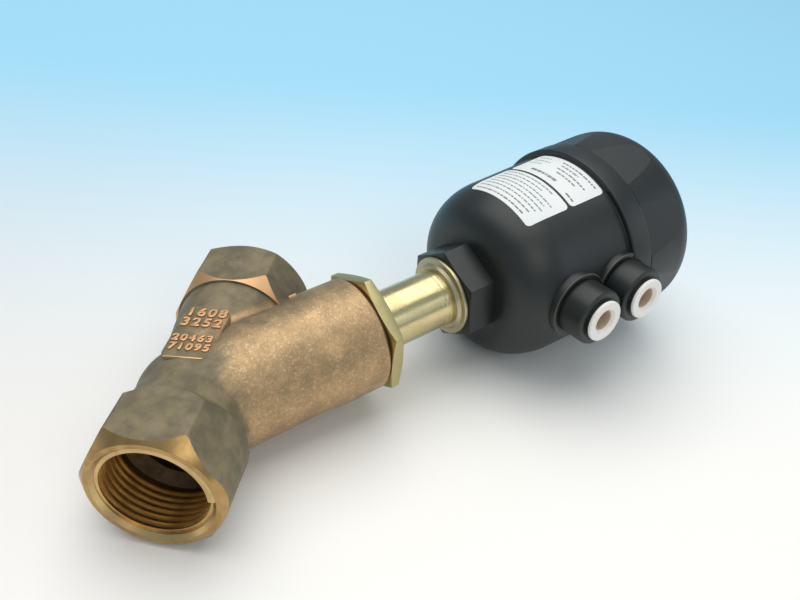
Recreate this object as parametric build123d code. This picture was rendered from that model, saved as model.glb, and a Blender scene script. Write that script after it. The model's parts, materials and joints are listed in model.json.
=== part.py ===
from build123d import *
import math
import os

"""Angle seat valve: a cast Y-pattern body with two threaded ports, closed by a disc on a
sliding spindle, and opened by air under a spring-loaded piston in a plastic actuator.

Frame: the valve lies on its side, as on a bench. X runs along the pipe, out of the inlet
port, whose face centre is the origin. Z is up. Units are millimetres.
Turned pieces are drawn about Z in the bonnet's own frame, where Z runs from the seat to
the actuator and X points the way the air ports do, and place() puts them on the valve.
"""

# ---- pipe body ----
port_to_port = 77.0            # face to face length of the two ports
branch_offset = 29.0           # inlet face to the crossing of pipe axis and bonnet axis
bonnet_angle = 45.0            # between the bonnet and the outlet half of the pipe
port_across_flats = 32.0
port_hex_length = 14.0         # from the face to the cone that turns the hexagon's rear corners down
port_hex_run_out = 3.6         # length of that cone
port_bonnet_corner = 12.5      # cast rounding of the hexagon's corner beside the bonnet
port_far_corner = 7.0          # cast rounding of the corner on the other side
port_face_radius = 15.3        # flat ring left at the mouth by the outer chamfer
port_chamfer_depth = 3.6
port_collar_radius = 15.9      # small end of the cone behind each hexagon
barrel_end_radius = 15.7
shoulder_radius = 14.5         # the barrel, 8 mm further in
waist_radius = 12.7
thread_radius = 13.22          # major radius of the G 3/4 pipe thread
thread_depth = 14.0
mouth_chamfer = 0.9
flow_radius = 10.0
pad_length = 20.5              # raised pad on the upper side, for cast size figures
pad_width = 11.8
pad_height = 14.3
pad_shift = -1.1               # the pad's middle from the pipe axis, away from the bonnet

# ---- seat and neck ----
seat_bore_radius = 9.0
seat_land_radius = 10.4
seat_land_height = 1.0
partition = 3.0
chamber_radius = 12.2
branch_radius = 15.0
neck_band_radius = 15.7
neck_band_start = 31.0
neck_top = 46.6
neck_edge = 0.5

# ---- guide nipple ----
spigot_radius = 13.0
spigot_length = 11.3
gasket_thickness = 0.6
nipple_across_flats = 30.0
nipple_hex_height = 3.5
nipple_hex_bevel = 0.7
nipple_turn = 38.5
tube_radius = 8.2
tube_top = 89.6
packing_bore_radius = 6.6
packing_bore_top = 62.0
bush_radius = 6.0
bush_length = 9.6

# ---- spindle and disc ----
spindle_radius = 4.0
spindle_tail_radius = 3.0
disc_radius = 11.3
disc_thickness = 3.6
seal_thickness = 2.0
seal_inner_radius = 6.2
stroke = 8.0                   # travel of the spindle; places are for the closed valve

# ---- actuator ----
actuator_radius = 26.5
actuator_flare = 0.7           # how much the housing widens from its shoulder to the rim
actuator_base = 75.9           # lower face of the actuator's own hexagon
actuator_hex_height = 8.6
actuator_across_flats = 24.0
actuator_hex_bevel = 0.4
dome_foot_radius = 15.2
dome_length = 15.5
cylinder_bore = 20.0
cylinder_floor = 90.4
rim_start = 123.3             # wide rim of the housing, below the cap
rim_radius = 28.9
rim_top = 130.5
housing_top = 139.0
cap_thread_radius = 24.4
collar_radius = 11.4
collar_thickness = 1.2
clip_radius = 10.2
clip_thickness = 1.2
piston_bottom = 105.0
piston_height = 5.0
piston_web = 2.8
piston_hub_radius = 7.0
piston_hub_height = 9.0
nut_height = 5.0

# ---- cap ----
cap_radius = 28.9
cap_top = 153.0
cap_wall = 6.0
cap_edge_radius = 3.4
grip_count = 8
grip_depth = 0.9               # depth of a grip flat at the cap's mouth
grip_run_out = 18.0            # height over which a grip flat runs out to nothing
cap_turn = -27.0
window_radius = 6.5
window_height = 10.0
window_wall = 1.2
pointer_radius = 2.4

# ---- springs ----
outer_spring_radius = 13.5
outer_spring_wire = 1.5
outer_spring_turns = 5
inner_spring_radius = 9.0
inner_spring_wire = 1.0
inner_spring_turns = 7
packing_spring_radius = 5.4
packing_spring_wire = 0.6
packing_spring_turns = 4
spring_plate_thickness = 1.5

# ---- push-in air connectors ----
lower_air_port = 102.6
upper_air_port = 119.8
boss_radius = 10.4
boss_reach = 27.4              # bonnet axis to the face that a connector stands on
spot_face_gap = 0.3            # round a connector's head, where it is sunk beside the rim
connector_radius = 8.2
connector_reach = 35.2         # bonnet axis to the open end of a connector
connector_edge = 0.8
shank_radius = 7.3
shank_bottom = 23.6
socket_radius = 6.2
air_tube_radius = 3.0
air_passage_radius = 1.4
collet_flange_radius = 6.0
collet_flange_thickness = 1.0
collet_travel = 0.7

# ---- clearances ----
running_gap = 0.05             # a round piece that slides or turns in its bore
piston_gap = 0.10              # the large, soft-sealed piston in its cylinder
seat_gap = 0.05                # faces that rest on each other across a joint
fitted_gap = 0.04              # pieces screwed or pressed together in one body
tube_clearance = 0.10          # round the air tube in its connector


# ---- worked-out sizes ----
def corner_radius(across_flats):
    """Distance from a hexagon's axis to its corners."""
    return across_flats / 2 / math.cos(math.radians(30))


gasket_bottom = neck_top
nipple_hex_bottom = neck_top + gasket_thickness
nipple_hex_top = nipple_hex_bottom + nipple_hex_height
spigot_bottom = neck_top - spigot_length
disc_bottom = seat_land_height + seat_gap
piston_top = piston_bottom + piston_height
web_top = piston_bottom + 0.8 + piston_web
hub_bottom = piston_bottom - 2.0
hub_top = hub_bottom + piston_hub_height + 2.0
nut_top = hub_top + nut_height
cap_mouth = rim_top + 0.1
cap_ceiling = cap_top - cap_wall
spring_top = cap_ceiling - spring_plate_thickness
crossing = Vector(-branch_offset, 0, 0)
lean = math.radians(bonnet_angle)
bonnet_direction = Vector(-math.cos(lean), math.sin(lean), 0)
port_side = Vector(math.sin(lean), math.cos(lean), 0)


def resting_tilt():
    """Angle in degrees that the bonnet rises at, when both ports and the housing's rim touch a bench."""

    def gap(tilt):
        rise = math.sin(lean) * math.sin(tilt)
        rim_low = rim_start * rise - rim_radius * math.sqrt(1 - rise**2)
        port_low = -corner_radius(port_across_flats) * math.cos(math.radians(30) - tilt)
        return rim_low - port_low

    low, high = 0.0, math.radians(30)
    for _ in range(60):
        middle = (low + high) / 2
        if gap(middle) < 0:
            low = middle
        else:
            high = middle
    return math.degrees(low)


on_bench = Rotation(resting_tilt(), 0, 0)
bonnet = Location(Plane(origin=crossing, x_dir=port_side, z_dir=bonnet_direction))
pipe = Location(Plane(origin=(0, 0, 0), x_dir=(0, 1, 0), z_dir=(1, 0, 0)))


# ---- shapes that repeat ----
def rod(radius, bottom, top):
    """Round bar about Z."""
    return Pos(0, 0, bottom) * Cylinder(radius, top - bottom, align=(Align.CENTER, Align.CENTER, Align.MIN))


def ring(inner, outer, bottom, top):
    """Flat ring about Z."""
    return rod(outer, bottom, top) - rod(inner, bottom - 1, top + 1)


def turned(*profile):
    """Solid turned about Z from (radius, height) points."""
    return revolve(Plane.XZ * make_face(Polyline(*profile, close=True)), Axis.Z)


def hexagon(across_flats, bottom, top, turn=0.0):
    """Hexagonal bar about Z, with a corner at angle turn."""
    radius = corner_radius(across_flats)
    angles = [math.radians(turn + 60 * i) for i in range(6)]
    outline = Polyline(*[(radius * math.cos(a), radius * math.sin(a)) for a in angles], close=True)
    return Pos(0, 0, bottom) * extrude(make_face(outline), top - bottom)


def nut_blank(across_flats, bottom, top, bevel, turn=0.0):
    """Hexagonal bar with both ends turned down to a circle just inside the flats."""
    face = across_flats / 2 - 0.2
    wide = corner_radius(across_flats) + 0.1
    keep = turned((0, bottom), (face, bottom), (wide, bottom + bevel), (wide, top - bevel), (face, top), (0, top))
    return hexagon(across_flats, bottom, top, turn) & keep


def coil(radius, wire, turns, bottom, top, lefthand=False):
    """Compression spring between two flat seats."""
    height = top - bottom - 2 * wire - 2 * fitted_gap
    path = Helix(height / turns, height, radius, lefthand=lefthand)
    section = Plane(path @ 0, z_dir=path % 0) * Circle(wire)
    return Pos(0, 0, bottom + wire + fitted_gap) * sweep(section, path, is_frenet=True)


# ---- valve body ----
def port_hexagon():
    """Wrench end of the inlet: flats, a mouth chamfer and a cone behind, with its face at z = 0."""
    wide = corner_radius(port_across_flats)
    back = -port_hex_length - port_hex_run_out
    keep = turned(
        (0, 0),
        (port_face_radius, 0),
        (wide, -port_chamfer_depth),
        (wide, -port_hex_length),
        (port_collar_radius, back),
        (0, back),
    )
    bar = hexagon(port_across_flats, back, 0)
    sides = bar.edges().filter_by(Axis.Z).sort_by(Axis.X)
    bar = fillet(sides[0], port_far_corner)
    sides = bar.edges().filter_by(Axis.Z).sort_by(Axis.X)
    bar = fillet(sides[-1], port_bonnet_corner)
    return bar & keep


def pipe_barrel():
    """Round part between the hexagons, drawn in to a waist, about the pipe axis."""
    start = 1 - port_hex_length - port_hex_run_out
    end = -port_to_port - start
    shoulder = 8.0
    side = Spline(
        (barrel_end_radius, start),
        (shoulder_radius, start - shoulder),
        (waist_radius, -port_to_port / 2),
        (shoulder_radius, end + shoulder),
        (barrel_end_radius, end),
    )
    rest = Polyline((barrel_end_radius, end), (0, end), (0, start), (barrel_end_radius, start))
    return revolve(Plane.XZ * make_face([side, rest]), Axis.Z)


def branch():
    """Round branch that carries the bonnet, with a ball end at the crossing."""
    outline = turned(
        (0, 0),
        (branch_radius, 0),
        (branch_radius, neck_band_start),
        (neck_band_radius, neck_band_start + 2),
        (neck_band_radius, neck_top - neck_edge),
        (neck_band_radius - neck_edge, neck_top),
        (0, neck_top),
    )
    return outline + Sphere(branch_radius)


def pad():
    """Flat raised pad on the upper side of the body."""
    outline = RectangleRounded(pad_length, pad_width, 3)
    return Pos(-port_to_port / 2, pad_shift, 0) * extrude(outline, pad_height)


def port_mouth():
    """Thread bore, mouth chamfer and drill cone of one port, with its face at z = 0."""
    return turned(
        (0, 1),
        (thread_radius + mouth_chamfer + 1, 1),
        (thread_radius + mouth_chamfer, 0),
        (thread_radius, -mouth_chamfer),
        (thread_radius, -thread_depth),
        (flow_radius, -thread_depth - 2.5),
        (0, -thread_depth - 2.5),
    )


def flow_path():
    """Hollow of the body: two thread bores, the passages to the seat, and the neck."""
    both_ends = pipe * port_mouth() + Pos(-port_to_port, 0, 0) * Rotation(0, 180, 0) * pipe * port_mouth()
    room = 4 * port_to_port
    above = bonnet * Box(room, room, room, align=(Align.CENTER, Align.CENTER, Align.MIN))
    below = bonnet * Pos(0, 0, -partition) * Box(room, room, room, align=(Align.CENTER, Align.CENTER, Align.MAX))
    inlet = (pipe * rod(flow_radius, -branch_offset - 2 * flow_radius, -thread_depth)) & below
    outlet = (pipe * rod(flow_radius, thread_depth - port_to_port, -branch_offset + 2 * flow_radius)) & above
    neck = rod(seat_bore_radius, -partition - 1, 1) + rod(chamber_radius, 0, neck_top + 1)
    neck += rod(spigot_radius, spigot_bottom - 2, neck_top + 1)
    return both_ends + inlet + outlet + bonnet * neck


def valve_body():
    """Cast body with both ports, the branch, the seat and its land."""
    outlet_end = Pos(-port_to_port, 0, 0) * Rotation(0, 180, 0) * pipe * port_hexagon()
    casting = pipe * port_hexagon() + outlet_end + pipe * pipe_barrel() + bonnet * branch() + pad()
    land = turned(
        (seat_bore_radius, -0.1),
        (seat_land_radius + 0.6, -0.1),
        (seat_land_radius, seat_land_height),
        (seat_bore_radius, seat_land_height),
    )
    return casting - flow_path() + bonnet * land


# ---- fixed pieces in the neck ----
def guide_nipple():
    """Screwed-in nipple: threaded spigot, wrench hexagon and the long guide tube in one piece."""
    spigot = rod(spigot_radius - fitted_gap, spigot_bottom, neck_top)
    spigot += rod(spigot_radius - 0.8, neck_top - 0.1, nipple_hex_bottom + 0.1)
    wrench = nut_blank(
        nipple_across_flats, nipple_hex_bottom, nipple_hex_top, nipple_hex_bevel, nipple_turn
    )
    root = turned(
        (0, nipple_hex_top - 0.1),
        (tube_radius + 1.6, nipple_hex_top - 0.1),
        (tube_radius, nipple_hex_top + 1.4),
        (0, nipple_hex_top + 1.4),
    )
    tube = rod(tube_radius, nipple_hex_top, tube_top)
    groove = ring(tube_radius - 0.9, tube_radius + 1, clip_seat(), clip_seat() + clip_thickness + 2 * fitted_gap)
    bore = rod(packing_bore_radius, spigot_bottom - 1, packing_bore_top)
    bore += rod(spindle_radius + 0.6, packing_bore_top - 1, tube_top + 1)
    bore += rod(bush_radius, tube_top - bush_length, tube_top + 1)
    return spigot + wrench + root + tube - groove - bore


def clip_seat():
    """Height of the retaining clip's lower face, just above the actuator's inner hub."""
    return tube_top - 2.4


def nipple_gasket():
    """Flat gasket between neck and nipple."""
    return ring(spigot_radius + 0.1, neck_band_radius - 1.4, gasket_bottom, gasket_bottom + gasket_thickness)


def packing_ring(index):
    """One chevron ring of the stack that seals the spindle."""
    pitch = 2.6
    bottom = spigot_bottom + 2.8 + index * pitch
    middle = (spindle_radius + packing_bore_radius) / 2
    inner = spindle_radius + running_gap
    outer = packing_bore_radius - fitted_gap
    return turned(
        (inner, bottom),
        (middle, bottom + 1.3),
        (outer, bottom),
        (outer, bottom + 1.2),
        (middle, bottom + 2.5),
        (inner, bottom + 1.2),
    )


packing_count = 4
packing_top = spigot_bottom + 2.8 + packing_count * 2.6 + 0.1


def wiper_ring():
    """Ring that closes the packing bore at its lower end."""
    return ring(spindle_radius + running_gap, packing_bore_radius - fitted_gap, spigot_bottom + 0.4, spigot_bottom + 2.7)


def thrust_ring():
    """Washer between the packing and its spring."""
    inner = spindle_radius + running_gap
    outer = packing_bore_radius - fitted_gap
    middle = (inner + outer) / 2
    return turned(
        (inner, packing_top),
        (middle, packing_top + 0.1),
        (outer, packing_top),
        (outer, packing_top + 1.8),
        (inner, packing_top + 1.8),
    )


def packing_spring():
    """Spring that keeps the packing tight."""
    return coil(packing_spring_radius, packing_spring_wire, packing_spring_turns, packing_top + 1.8, packing_bore_top)


def guide_bush():
    """Plain bearing of the spindle at the top of the tube."""
    bottom = tube_top - bush_length
    return ring(spindle_radius + running_gap, bush_radius - fitted_gap, bottom, tube_top)


def collar():
    """Flanged ring on the tube that the actuator sits on."""
    bottom = actuator_base - collar_thickness - seat_gap
    foot = turned(
        (tube_radius + fitted_gap, bottom - 1.0),
        (tube_radius + 1.1, bottom - 1.0),
        (tube_radius + 1.8, bottom + 0.3),
        (tube_radius + fitted_gap, bottom + 0.3),
    )
    flange = turned(
        (tube_radius + fitted_gap, bottom),
        (collar_radius - 0.3, bottom),
        (collar_radius, bottom + 0.3),
        (collar_radius, bottom + collar_thickness - 0.2),
        (collar_radius - 0.2, bottom + collar_thickness),
        (tube_radius + fitted_gap, bottom + collar_thickness),
    )
    return foot + flange


def retaining_clip():
    """Open clip in the tube's groove, which keeps the actuator on and lets it turn."""
    bottom = clip_seat() + fitted_gap
    whole = ring(tube_radius - 0.8, clip_radius, bottom, bottom + clip_thickness)
    mouth = Pos(clip_radius, 0, bottom) * Box(2 * clip_radius, 5, 4 * clip_thickness)
    return whole - mouth


# ---- spindle, disc and piston ----
def spindle():
    """Spindle with a threaded tail for the disc and a threaded head for the piston."""
    shoulder = disc_bottom + seal_thickness + disc_thickness
    return turned(
        (0, disc_bottom - 6.6),
        (spindle_tail_radius - 0.4, disc_bottom - 6.6),
        (spindle_tail_radius, disc_bottom - 6.2),
        (spindle_tail_radius, shoulder),
        (spindle_radius, shoulder),
        (spindle_radius, hub_bottom),
        (spindle_radius - 1.0, hub_bottom),
        (spindle_radius - 1.0, nut_top + 1.0),
        (0, nut_top + 1.0),
    )


def valve_disc():
    """Disc that carries the seal, with a domed back that lets it find the seat."""
    bottom = disc_bottom + seal_thickness
    bore = spindle_tail_radius + fitted_gap
    return turned(
        (bore, disc_bottom + 0.3),
        (seal_inner_radius - fitted_gap, disc_bottom + 0.3),
        (seal_inner_radius - fitted_gap, bottom),
        (disc_radius - 0.5, bottom),
        (disc_radius, bottom + 0.5),
        (disc_radius, bottom + 1.4),
        (spindle_radius + 2.4, bottom + disc_thickness),
        (bore, bottom + disc_thickness),
    )


def seat_seal():
    """Soft ring that closes on the seat's land."""
    top = disc_bottom + seal_thickness
    return turned(
        (seal_inner_radius, disc_bottom),
        (disc_radius - 0.9, disc_bottom),
        (disc_radius - 0.4, disc_bottom + 0.5),
        (disc_radius - 0.4, top),
        (seal_inner_radius, top),
    )


def seal_washer():
    """Washer that holds the seal up against the disc, inside the seat bore."""
    return ring(spindle_tail_radius + fitted_gap, seat_bore_radius - 1.2, disc_bottom - 1.4, disc_bottom)


def disc_nut():
    """Nut at the spindle's tail."""
    blank = nut_blank(10.0, disc_bottom - 5.4, disc_bottom - 1.4, 0.5)
    return blank - rod(spindle_tail_radius + fitted_gap, disc_bottom - 6, disc_bottom)


def piston():
    """Piston: a rim with a seal groove, a dished web with ribs, and a hub on the spindle."""
    outer = cylinder_bore - piston_gap
    web_bottom = web_top - piston_web
    shape = turned(
        (spindle_radius - 1.0 + fitted_gap, hub_bottom + fitted_gap),
        (piston_hub_radius - 0.6, hub_bottom + fitted_gap),
        (piston_hub_radius, hub_bottom + 0.6),
        (piston_hub_radius, web_bottom),
        (outer - 2.6, web_bottom),
        (outer - 2.2, piston_bottom),
        (outer - 0.4, piston_bottom),
        (outer, piston_bottom + 0.4),
        (outer, piston_bottom + 1.5),
        (outer - 2.2, piston_bottom + 1.5),
        (outer - 2.2, piston_bottom + 3.5),
        (outer, piston_bottom + 3.5),
        (outer, piston_top - 0.4),
        (outer - 0.4, piston_top),
        (outer - 2.2, piston_top),
        (outer - 2.6, web_top),
        (piston_hub_radius - 0.4, web_top),
        (piston_hub_radius - 0.8, hub_top),
        (spindle_radius - 1.0 + fitted_gap, hub_top),
    )
    rib_length = outer - 2.4 - piston_hub_radius
    rib_middle = piston_hub_radius + rib_length / 2
    for i in range(6):
        rib = Rotation(0, 0, 60 * i) * Pos(rib_middle, 0, web_bottom - 0.5) * Box(rib_length + 0.4, 1.6, 1.2)
        shape += rib
    return shape


def piston_seal():
    """Lip ring in the piston's groove."""
    outer = cylinder_bore - piston_gap
    bottom = piston_bottom + 1.5 + fitted_gap
    return turned(
        (outer - 2.2 + fitted_gap, bottom),
        (outer - 0.2, bottom),
        (outer + 0.05, bottom + 0.4),
        (outer - 0.4, bottom + 1.0),
        (outer + 0.05, bottom + 1.5),
        (outer - 0.2, bottom + 1.9),
        (outer - 2.2 + fitted_gap, bottom + 1.9),
    )


def piston_nut():
    """Nut that clamps the piston to the spindle."""
    blank = nut_blank(10.0, hub_top, nut_top, 0.5)
    return blank - rod(spindle_radius - 1.0 + fitted_gap, hub_top - 1, nut_top + 1)


def position_pointer():
    """Slim rod that rises into the clear window as the valve opens."""
    bottom = nut_top + 1.0
    return turned(
        (0, bottom),
        (pointer_radius, bottom),
        (pointer_radius, cap_top - 1.2),
        (pointer_radius - 0.6, cap_top - 0.6),
        (0, cap_top - 0.6),
    )


# ---- actuator ----
def air_ports():
    """Heights of the two air connectors."""
    return (lower_air_port, upper_air_port)


def sideways(height):
    """Frame of an air connector: Z runs out of its boss."""
    return Pos(0, 0, height) * Rotation(0, 90, 0)


def housing_dome():
    """Dome above the wrench hexagon, outer wall, wide rim and the threaded neck for the cap."""
    foot = actuator_base + actuator_hex_height
    shoulder = foot + dome_length
    arc = EllipticalCenterArc(
        (dome_foot_radius, shoulder),
        actuator_radius - dome_foot_radius,
        dome_length,
        start_angle=270,
        arc_size=90,
    )
    rest = Polyline(
        (actuator_radius, shoulder),
        (actuator_radius + actuator_flare, rim_start),
        (rim_radius - 0.5, rim_start),
        (rim_radius, rim_start + 0.5),
        (rim_radius, rim_top),
        (cap_thread_radius, rim_top),
        (cap_thread_radius, housing_top),
        (0, housing_top),
        (0, foot),
        (dome_foot_radius, foot),
    )
    return revolve(Plane.XZ * make_face([arc, rest]), Axis.Z)


def actuator_housing():
    """Moulded housing: wrench hexagon, dome, cylinder, rim and the two connector bosses."""
    top_of_hex = actuator_base + actuator_hex_height
    wrench = nut_blank(actuator_across_flats, actuator_base, top_of_hex + 1.5, actuator_hex_bevel, 30)
    shell = wrench + housing_dome()
    for height in air_ports():
        shell += sideways(height) * rod(boss_radius, cylinder_bore + 1, boss_reach)
    hub_roof = clip_seat() - seat_gap
    hollow = turned(
        (0, hub_roof),
        (cylinder_bore - 6, hub_roof),
        (cylinder_bore, cylinder_floor + 3),
        (cylinder_bore, housing_top + 1),
        (0, housing_top + 1),
    )
    shell -= hollow
    shell -= rod(tube_radius + running_gap, actuator_base - 1, hub_roof + 1)
    shell -= ring(tube_radius, tube_radius + 2.0, *o_ring_groove())
    for height in air_ports():
        socket = rod(shank_radius + fitted_gap, shank_bottom - fitted_gap, boss_reach + 1)
        socket += rod(air_passage_radius, cylinder_bore - 2, boss_reach)
        socket += rod(connector_radius + spot_face_gap, boss_reach, connector_reach)
        shell -= sideways(height) * socket
    return shell


def o_ring_groove():
    """Lower and upper face of the groove that seals the housing on the tube."""
    middle = actuator_base + 5.5
    return (middle - 1.05, middle + 1.05)


def base_o_ring():
    """O-ring between housing and tube, slightly flattened in its groove."""
    low, high = o_ring_groove()
    middle = (low + high) / 2
    section = Ellipse((2.0 - 2 * fitted_gap) / 2, (high - low) / 2 - fitted_gap)
    return revolve(Plane.XZ * Pos(tube_radius + 1.0 + running_gap / 2, middle) * section, Axis.Z)


def actuator_cap():
    """Screw cap that holds the springs, with grip flats that run out towards its top."""
    edge = cap_edge_radius
    bend = RadiusArc((cap_radius, cap_top - edge), (cap_radius - edge, cap_top), -edge)
    wall = Polyline(
        (cap_radius - edge, cap_top),
        (0, cap_top),
        (0, cap_mouth),
        (cap_radius - 0.3, cap_mouth),
        (cap_radius, cap_mouth + 0.3),
        (cap_radius, cap_top - edge),
    )
    shape = revolve(Plane.XZ * make_face([bend, wall]), Axis.Z)
    hollow = rod(cap_thread_radius + fitted_gap, cap_mouth - 1, housing_top + 1.6)
    hollow += rod(cylinder_bore, housing_top, cap_ceiling)
    hollow += rod(pointer_radius + 0.4, cap_ceiling - 1, cap_top + 1)
    shape -= hollow
    slope = math.degrees(math.atan(grip_depth / grip_run_out))
    flat = Pos(cap_radius - grip_depth, 0, cap_mouth) * Rotation(0, slope, 0) * Pos(0, 0, -2)
    flat *= Box(10, 2 * cap_radius, cap_top, align=(Align.MIN, Align.CENTER, Align.MIN))
    for i in range(grip_count):
        shape -= Rotation(0, 0, cap_turn + i * 360 / grip_count) * flat
    return shape


def cap_o_ring():
    """O-ring between the housing's rim and the cap."""
    section = Ellipse(0.9, 0.75)
    middle = (cylinder_bore + cap_thread_radius) / 2
    return revolve(Plane.XZ * Pos(middle, housing_top + 0.8) * section, Axis.Z)


def spring_plate():
    """Steel plate under the cap's ceiling that the springs bear on."""
    bottom = cap_ceiling - spring_plate_thickness
    return ring(pointer_radius + 0.6, cylinder_bore - 1.0, bottom, cap_ceiling - fitted_gap)


def outer_return_spring():
    """Large spring that closes the valve."""
    return coil(outer_spring_radius, outer_spring_wire, outer_spring_turns, web_top, spring_top)


def inner_return_spring():
    """Small spring inside the large one, wound the other way."""
    return coil(inner_spring_radius, inner_spring_wire, inner_spring_turns, web_top, spring_top, lefthand=True)


def indicator_window():
    """Clear dome over the pointer."""
    bottom = cap_top + fitted_gap
    top = bottom + window_height
    inner = pointer_radius + 0.9
    outer = turned(
        (0, bottom),
        (window_radius, bottom),
        (window_radius, bottom + 1.2),
        (inner + window_wall, bottom + 1.6),
        (inner + window_wall - 0.4, top - 1.2),
        (inner + window_wall - 1.4, top),
        (0, top),
    )
    return outer - rod(inner - 0.4, bottom - 1, top - window_wall)


# ---- push-in connectors, drawn with Z out of the boss ----
seal_seat = shank_bottom + 4.4
sleeve_bottom = seal_seat + 2.2


def connector_body():
    """Body of a push-in connector: a shank in the boss and a round head that takes the inner parts."""
    outline = turned(
        (air_passage_radius, shank_bottom),
        (shank_radius - 0.4, shank_bottom),
        (shank_radius, shank_bottom + 0.4),
        (shank_radius, boss_reach + fitted_gap),
        (connector_radius - 0.3, boss_reach + fitted_gap),
        (connector_radius, boss_reach + 0.4),
        (connector_radius, connector_reach - connector_edge),
        (connector_radius - connector_edge, connector_reach),
        (socket_radius, connector_reach),
        (socket_radius, seal_seat),
        (air_tube_radius + 0.3, seal_seat),
        (air_tube_radius + 0.05, shank_bottom + 1.6),
        (air_passage_radius, shank_bottom + 1.6),
    )
    return outline


def tube_o_ring():
    """O-ring that grips the air tube."""
    inner = air_tube_radius + tube_clearance / 2
    outer = socket_radius - fitted_gap
    section = Ellipse((outer - inner) / 2, 1.1 - fitted_gap)
    return revolve(Plane.XZ * Pos((inner + outer) / 2, seal_seat + 1.1) * section, Axis.Z)


def connector_sleeve():
    """Sleeve pressed into the connector: it backs the O-ring and its cone closes the collet's jaws."""
    inner = air_tube_radius + 1.9
    outer = socket_radius - fitted_gap
    return turned(
        (inner + 0.9, sleeve_bottom),
        (outer, sleeve_bottom),
        (outer, connector_reach - 0.1),
        (inner - 0.6, connector_reach - 0.1),
        (inner - 0.6, sleeve_bottom + 3.0),
        (inner + 0.9, sleeve_bottom + 1.8),
    )


def collet():
    """Release collet: a flange to push, a split sleeve and barbed jaws round the tube."""
    bore = air_tube_radius + tube_clearance
    back = sleeve_bottom + collet_travel + 0.3
    outer = air_tube_radius + 1.9 - 0.6 - running_gap
    front = connector_reach + collet_travel + 0.1
    shape = turned(
        (bore, back),
        (outer + 0.5, back),
        (outer + 0.5, back + 1.0),
        (outer, back + 1.6),
        (outer, front),
        (collet_flange_radius - 0.2, front),
        (collet_flange_radius, front + 0.2),
        (collet_flange_radius, front + collet_flange_thickness - 0.3),
        (collet_flange_radius - 0.3, front + collet_flange_thickness),
        (bore + 0.5, front + collet_flange_thickness),
        (bore, front + collet_flange_thickness - 0.5),
    )
    for i in range(2):
        shape -= Rotation(0, 0, 45 + 90 * i) * Pos(0, 0, back + 1.6) * Box(20, 0.7, 3.4)
    return shape


# ---- the whole valve ----
def build():
    """Every piece, by name, in the bonnet's frame, except the body, which has its own place."""
    pieces = {
        "guide_nipple": guide_nipple(),
        "nipple_gasket": nipple_gasket(),
        "wiper_ring": wiper_ring(),
        "packing_thrust_ring": thrust_ring(),
        "packing_spring": packing_spring(),
        "guide_bush": guide_bush(),
        "seating_collar": collar(),
        "retaining_clip": retaining_clip(),
        "spindle": spindle(),
        "valve_disc": valve_disc(),
        "seat_seal": seat_seal(),
        "seal_washer": seal_washer(),
        "disc_nut": disc_nut(),
        "piston": piston(),
        "piston_seal": piston_seal(),
        "piston_nut": piston_nut(),
        "position_pointer": position_pointer(),
        "outer_return_spring": outer_return_spring(),
        "inner_return_spring": inner_return_spring(),
        "spring_plate": spring_plate(),
        "actuator_housing": actuator_housing(),
        "base_o_ring": base_o_ring(),
        "actuator_cap": actuator_cap(),
        "cap_o_ring": cap_o_ring(),
        "indicator_window": indicator_window(),
    }
    for i in range(packing_count):
        pieces[f"packing_ring_{i + 1}"] = packing_ring(i)
    for name, height in zip(("lower", "upper"), air_ports()):
        pieces[f"{name}_connector_body"] = sideways(height) * connector_body()
        pieces[f"{name}_tube_o_ring"] = sideways(height) * tube_o_ring()
        pieces[f"{name}_connector_sleeve"] = sideways(height) * connector_sleeve()
        pieces[f"{name}_collet"] = sideways(height) * collet()
    placed = {name: on_bench * bonnet * shape for name, shape in pieces.items()}
    placed["valve_body"] = on_bench * valve_body()
    return placed


os.makedirs("parts", exist_ok=True)
for name, shape in build().items():
    export_step(shape, f"parts/{name}.step")
print("resting tilt", round(resting_tilt(), 3), "degrees")
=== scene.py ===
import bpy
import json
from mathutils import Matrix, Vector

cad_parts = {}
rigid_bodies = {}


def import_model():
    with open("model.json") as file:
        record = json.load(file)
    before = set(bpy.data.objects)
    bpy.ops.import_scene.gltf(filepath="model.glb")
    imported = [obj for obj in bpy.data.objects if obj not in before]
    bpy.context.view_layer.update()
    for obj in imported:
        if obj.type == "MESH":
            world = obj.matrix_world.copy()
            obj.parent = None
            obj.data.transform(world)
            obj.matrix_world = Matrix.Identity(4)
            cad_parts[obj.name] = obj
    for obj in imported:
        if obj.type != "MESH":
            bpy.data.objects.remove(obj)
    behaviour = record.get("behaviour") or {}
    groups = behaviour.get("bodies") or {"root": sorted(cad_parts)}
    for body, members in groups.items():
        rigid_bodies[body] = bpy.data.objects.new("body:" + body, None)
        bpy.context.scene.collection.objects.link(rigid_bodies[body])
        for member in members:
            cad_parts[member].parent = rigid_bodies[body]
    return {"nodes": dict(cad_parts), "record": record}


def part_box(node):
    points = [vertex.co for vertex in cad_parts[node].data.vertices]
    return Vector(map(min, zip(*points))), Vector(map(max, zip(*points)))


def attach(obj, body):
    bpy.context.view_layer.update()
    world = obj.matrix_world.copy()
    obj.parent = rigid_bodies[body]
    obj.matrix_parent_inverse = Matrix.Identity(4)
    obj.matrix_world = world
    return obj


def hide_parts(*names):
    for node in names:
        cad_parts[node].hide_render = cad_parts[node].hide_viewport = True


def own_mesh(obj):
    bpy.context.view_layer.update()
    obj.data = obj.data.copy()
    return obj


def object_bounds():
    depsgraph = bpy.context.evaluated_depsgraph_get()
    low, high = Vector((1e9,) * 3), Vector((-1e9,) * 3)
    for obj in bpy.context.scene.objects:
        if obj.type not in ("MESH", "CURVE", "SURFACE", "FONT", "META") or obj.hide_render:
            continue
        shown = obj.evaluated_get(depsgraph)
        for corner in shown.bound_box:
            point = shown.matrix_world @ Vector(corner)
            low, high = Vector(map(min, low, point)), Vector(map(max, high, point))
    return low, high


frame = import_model()

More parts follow.
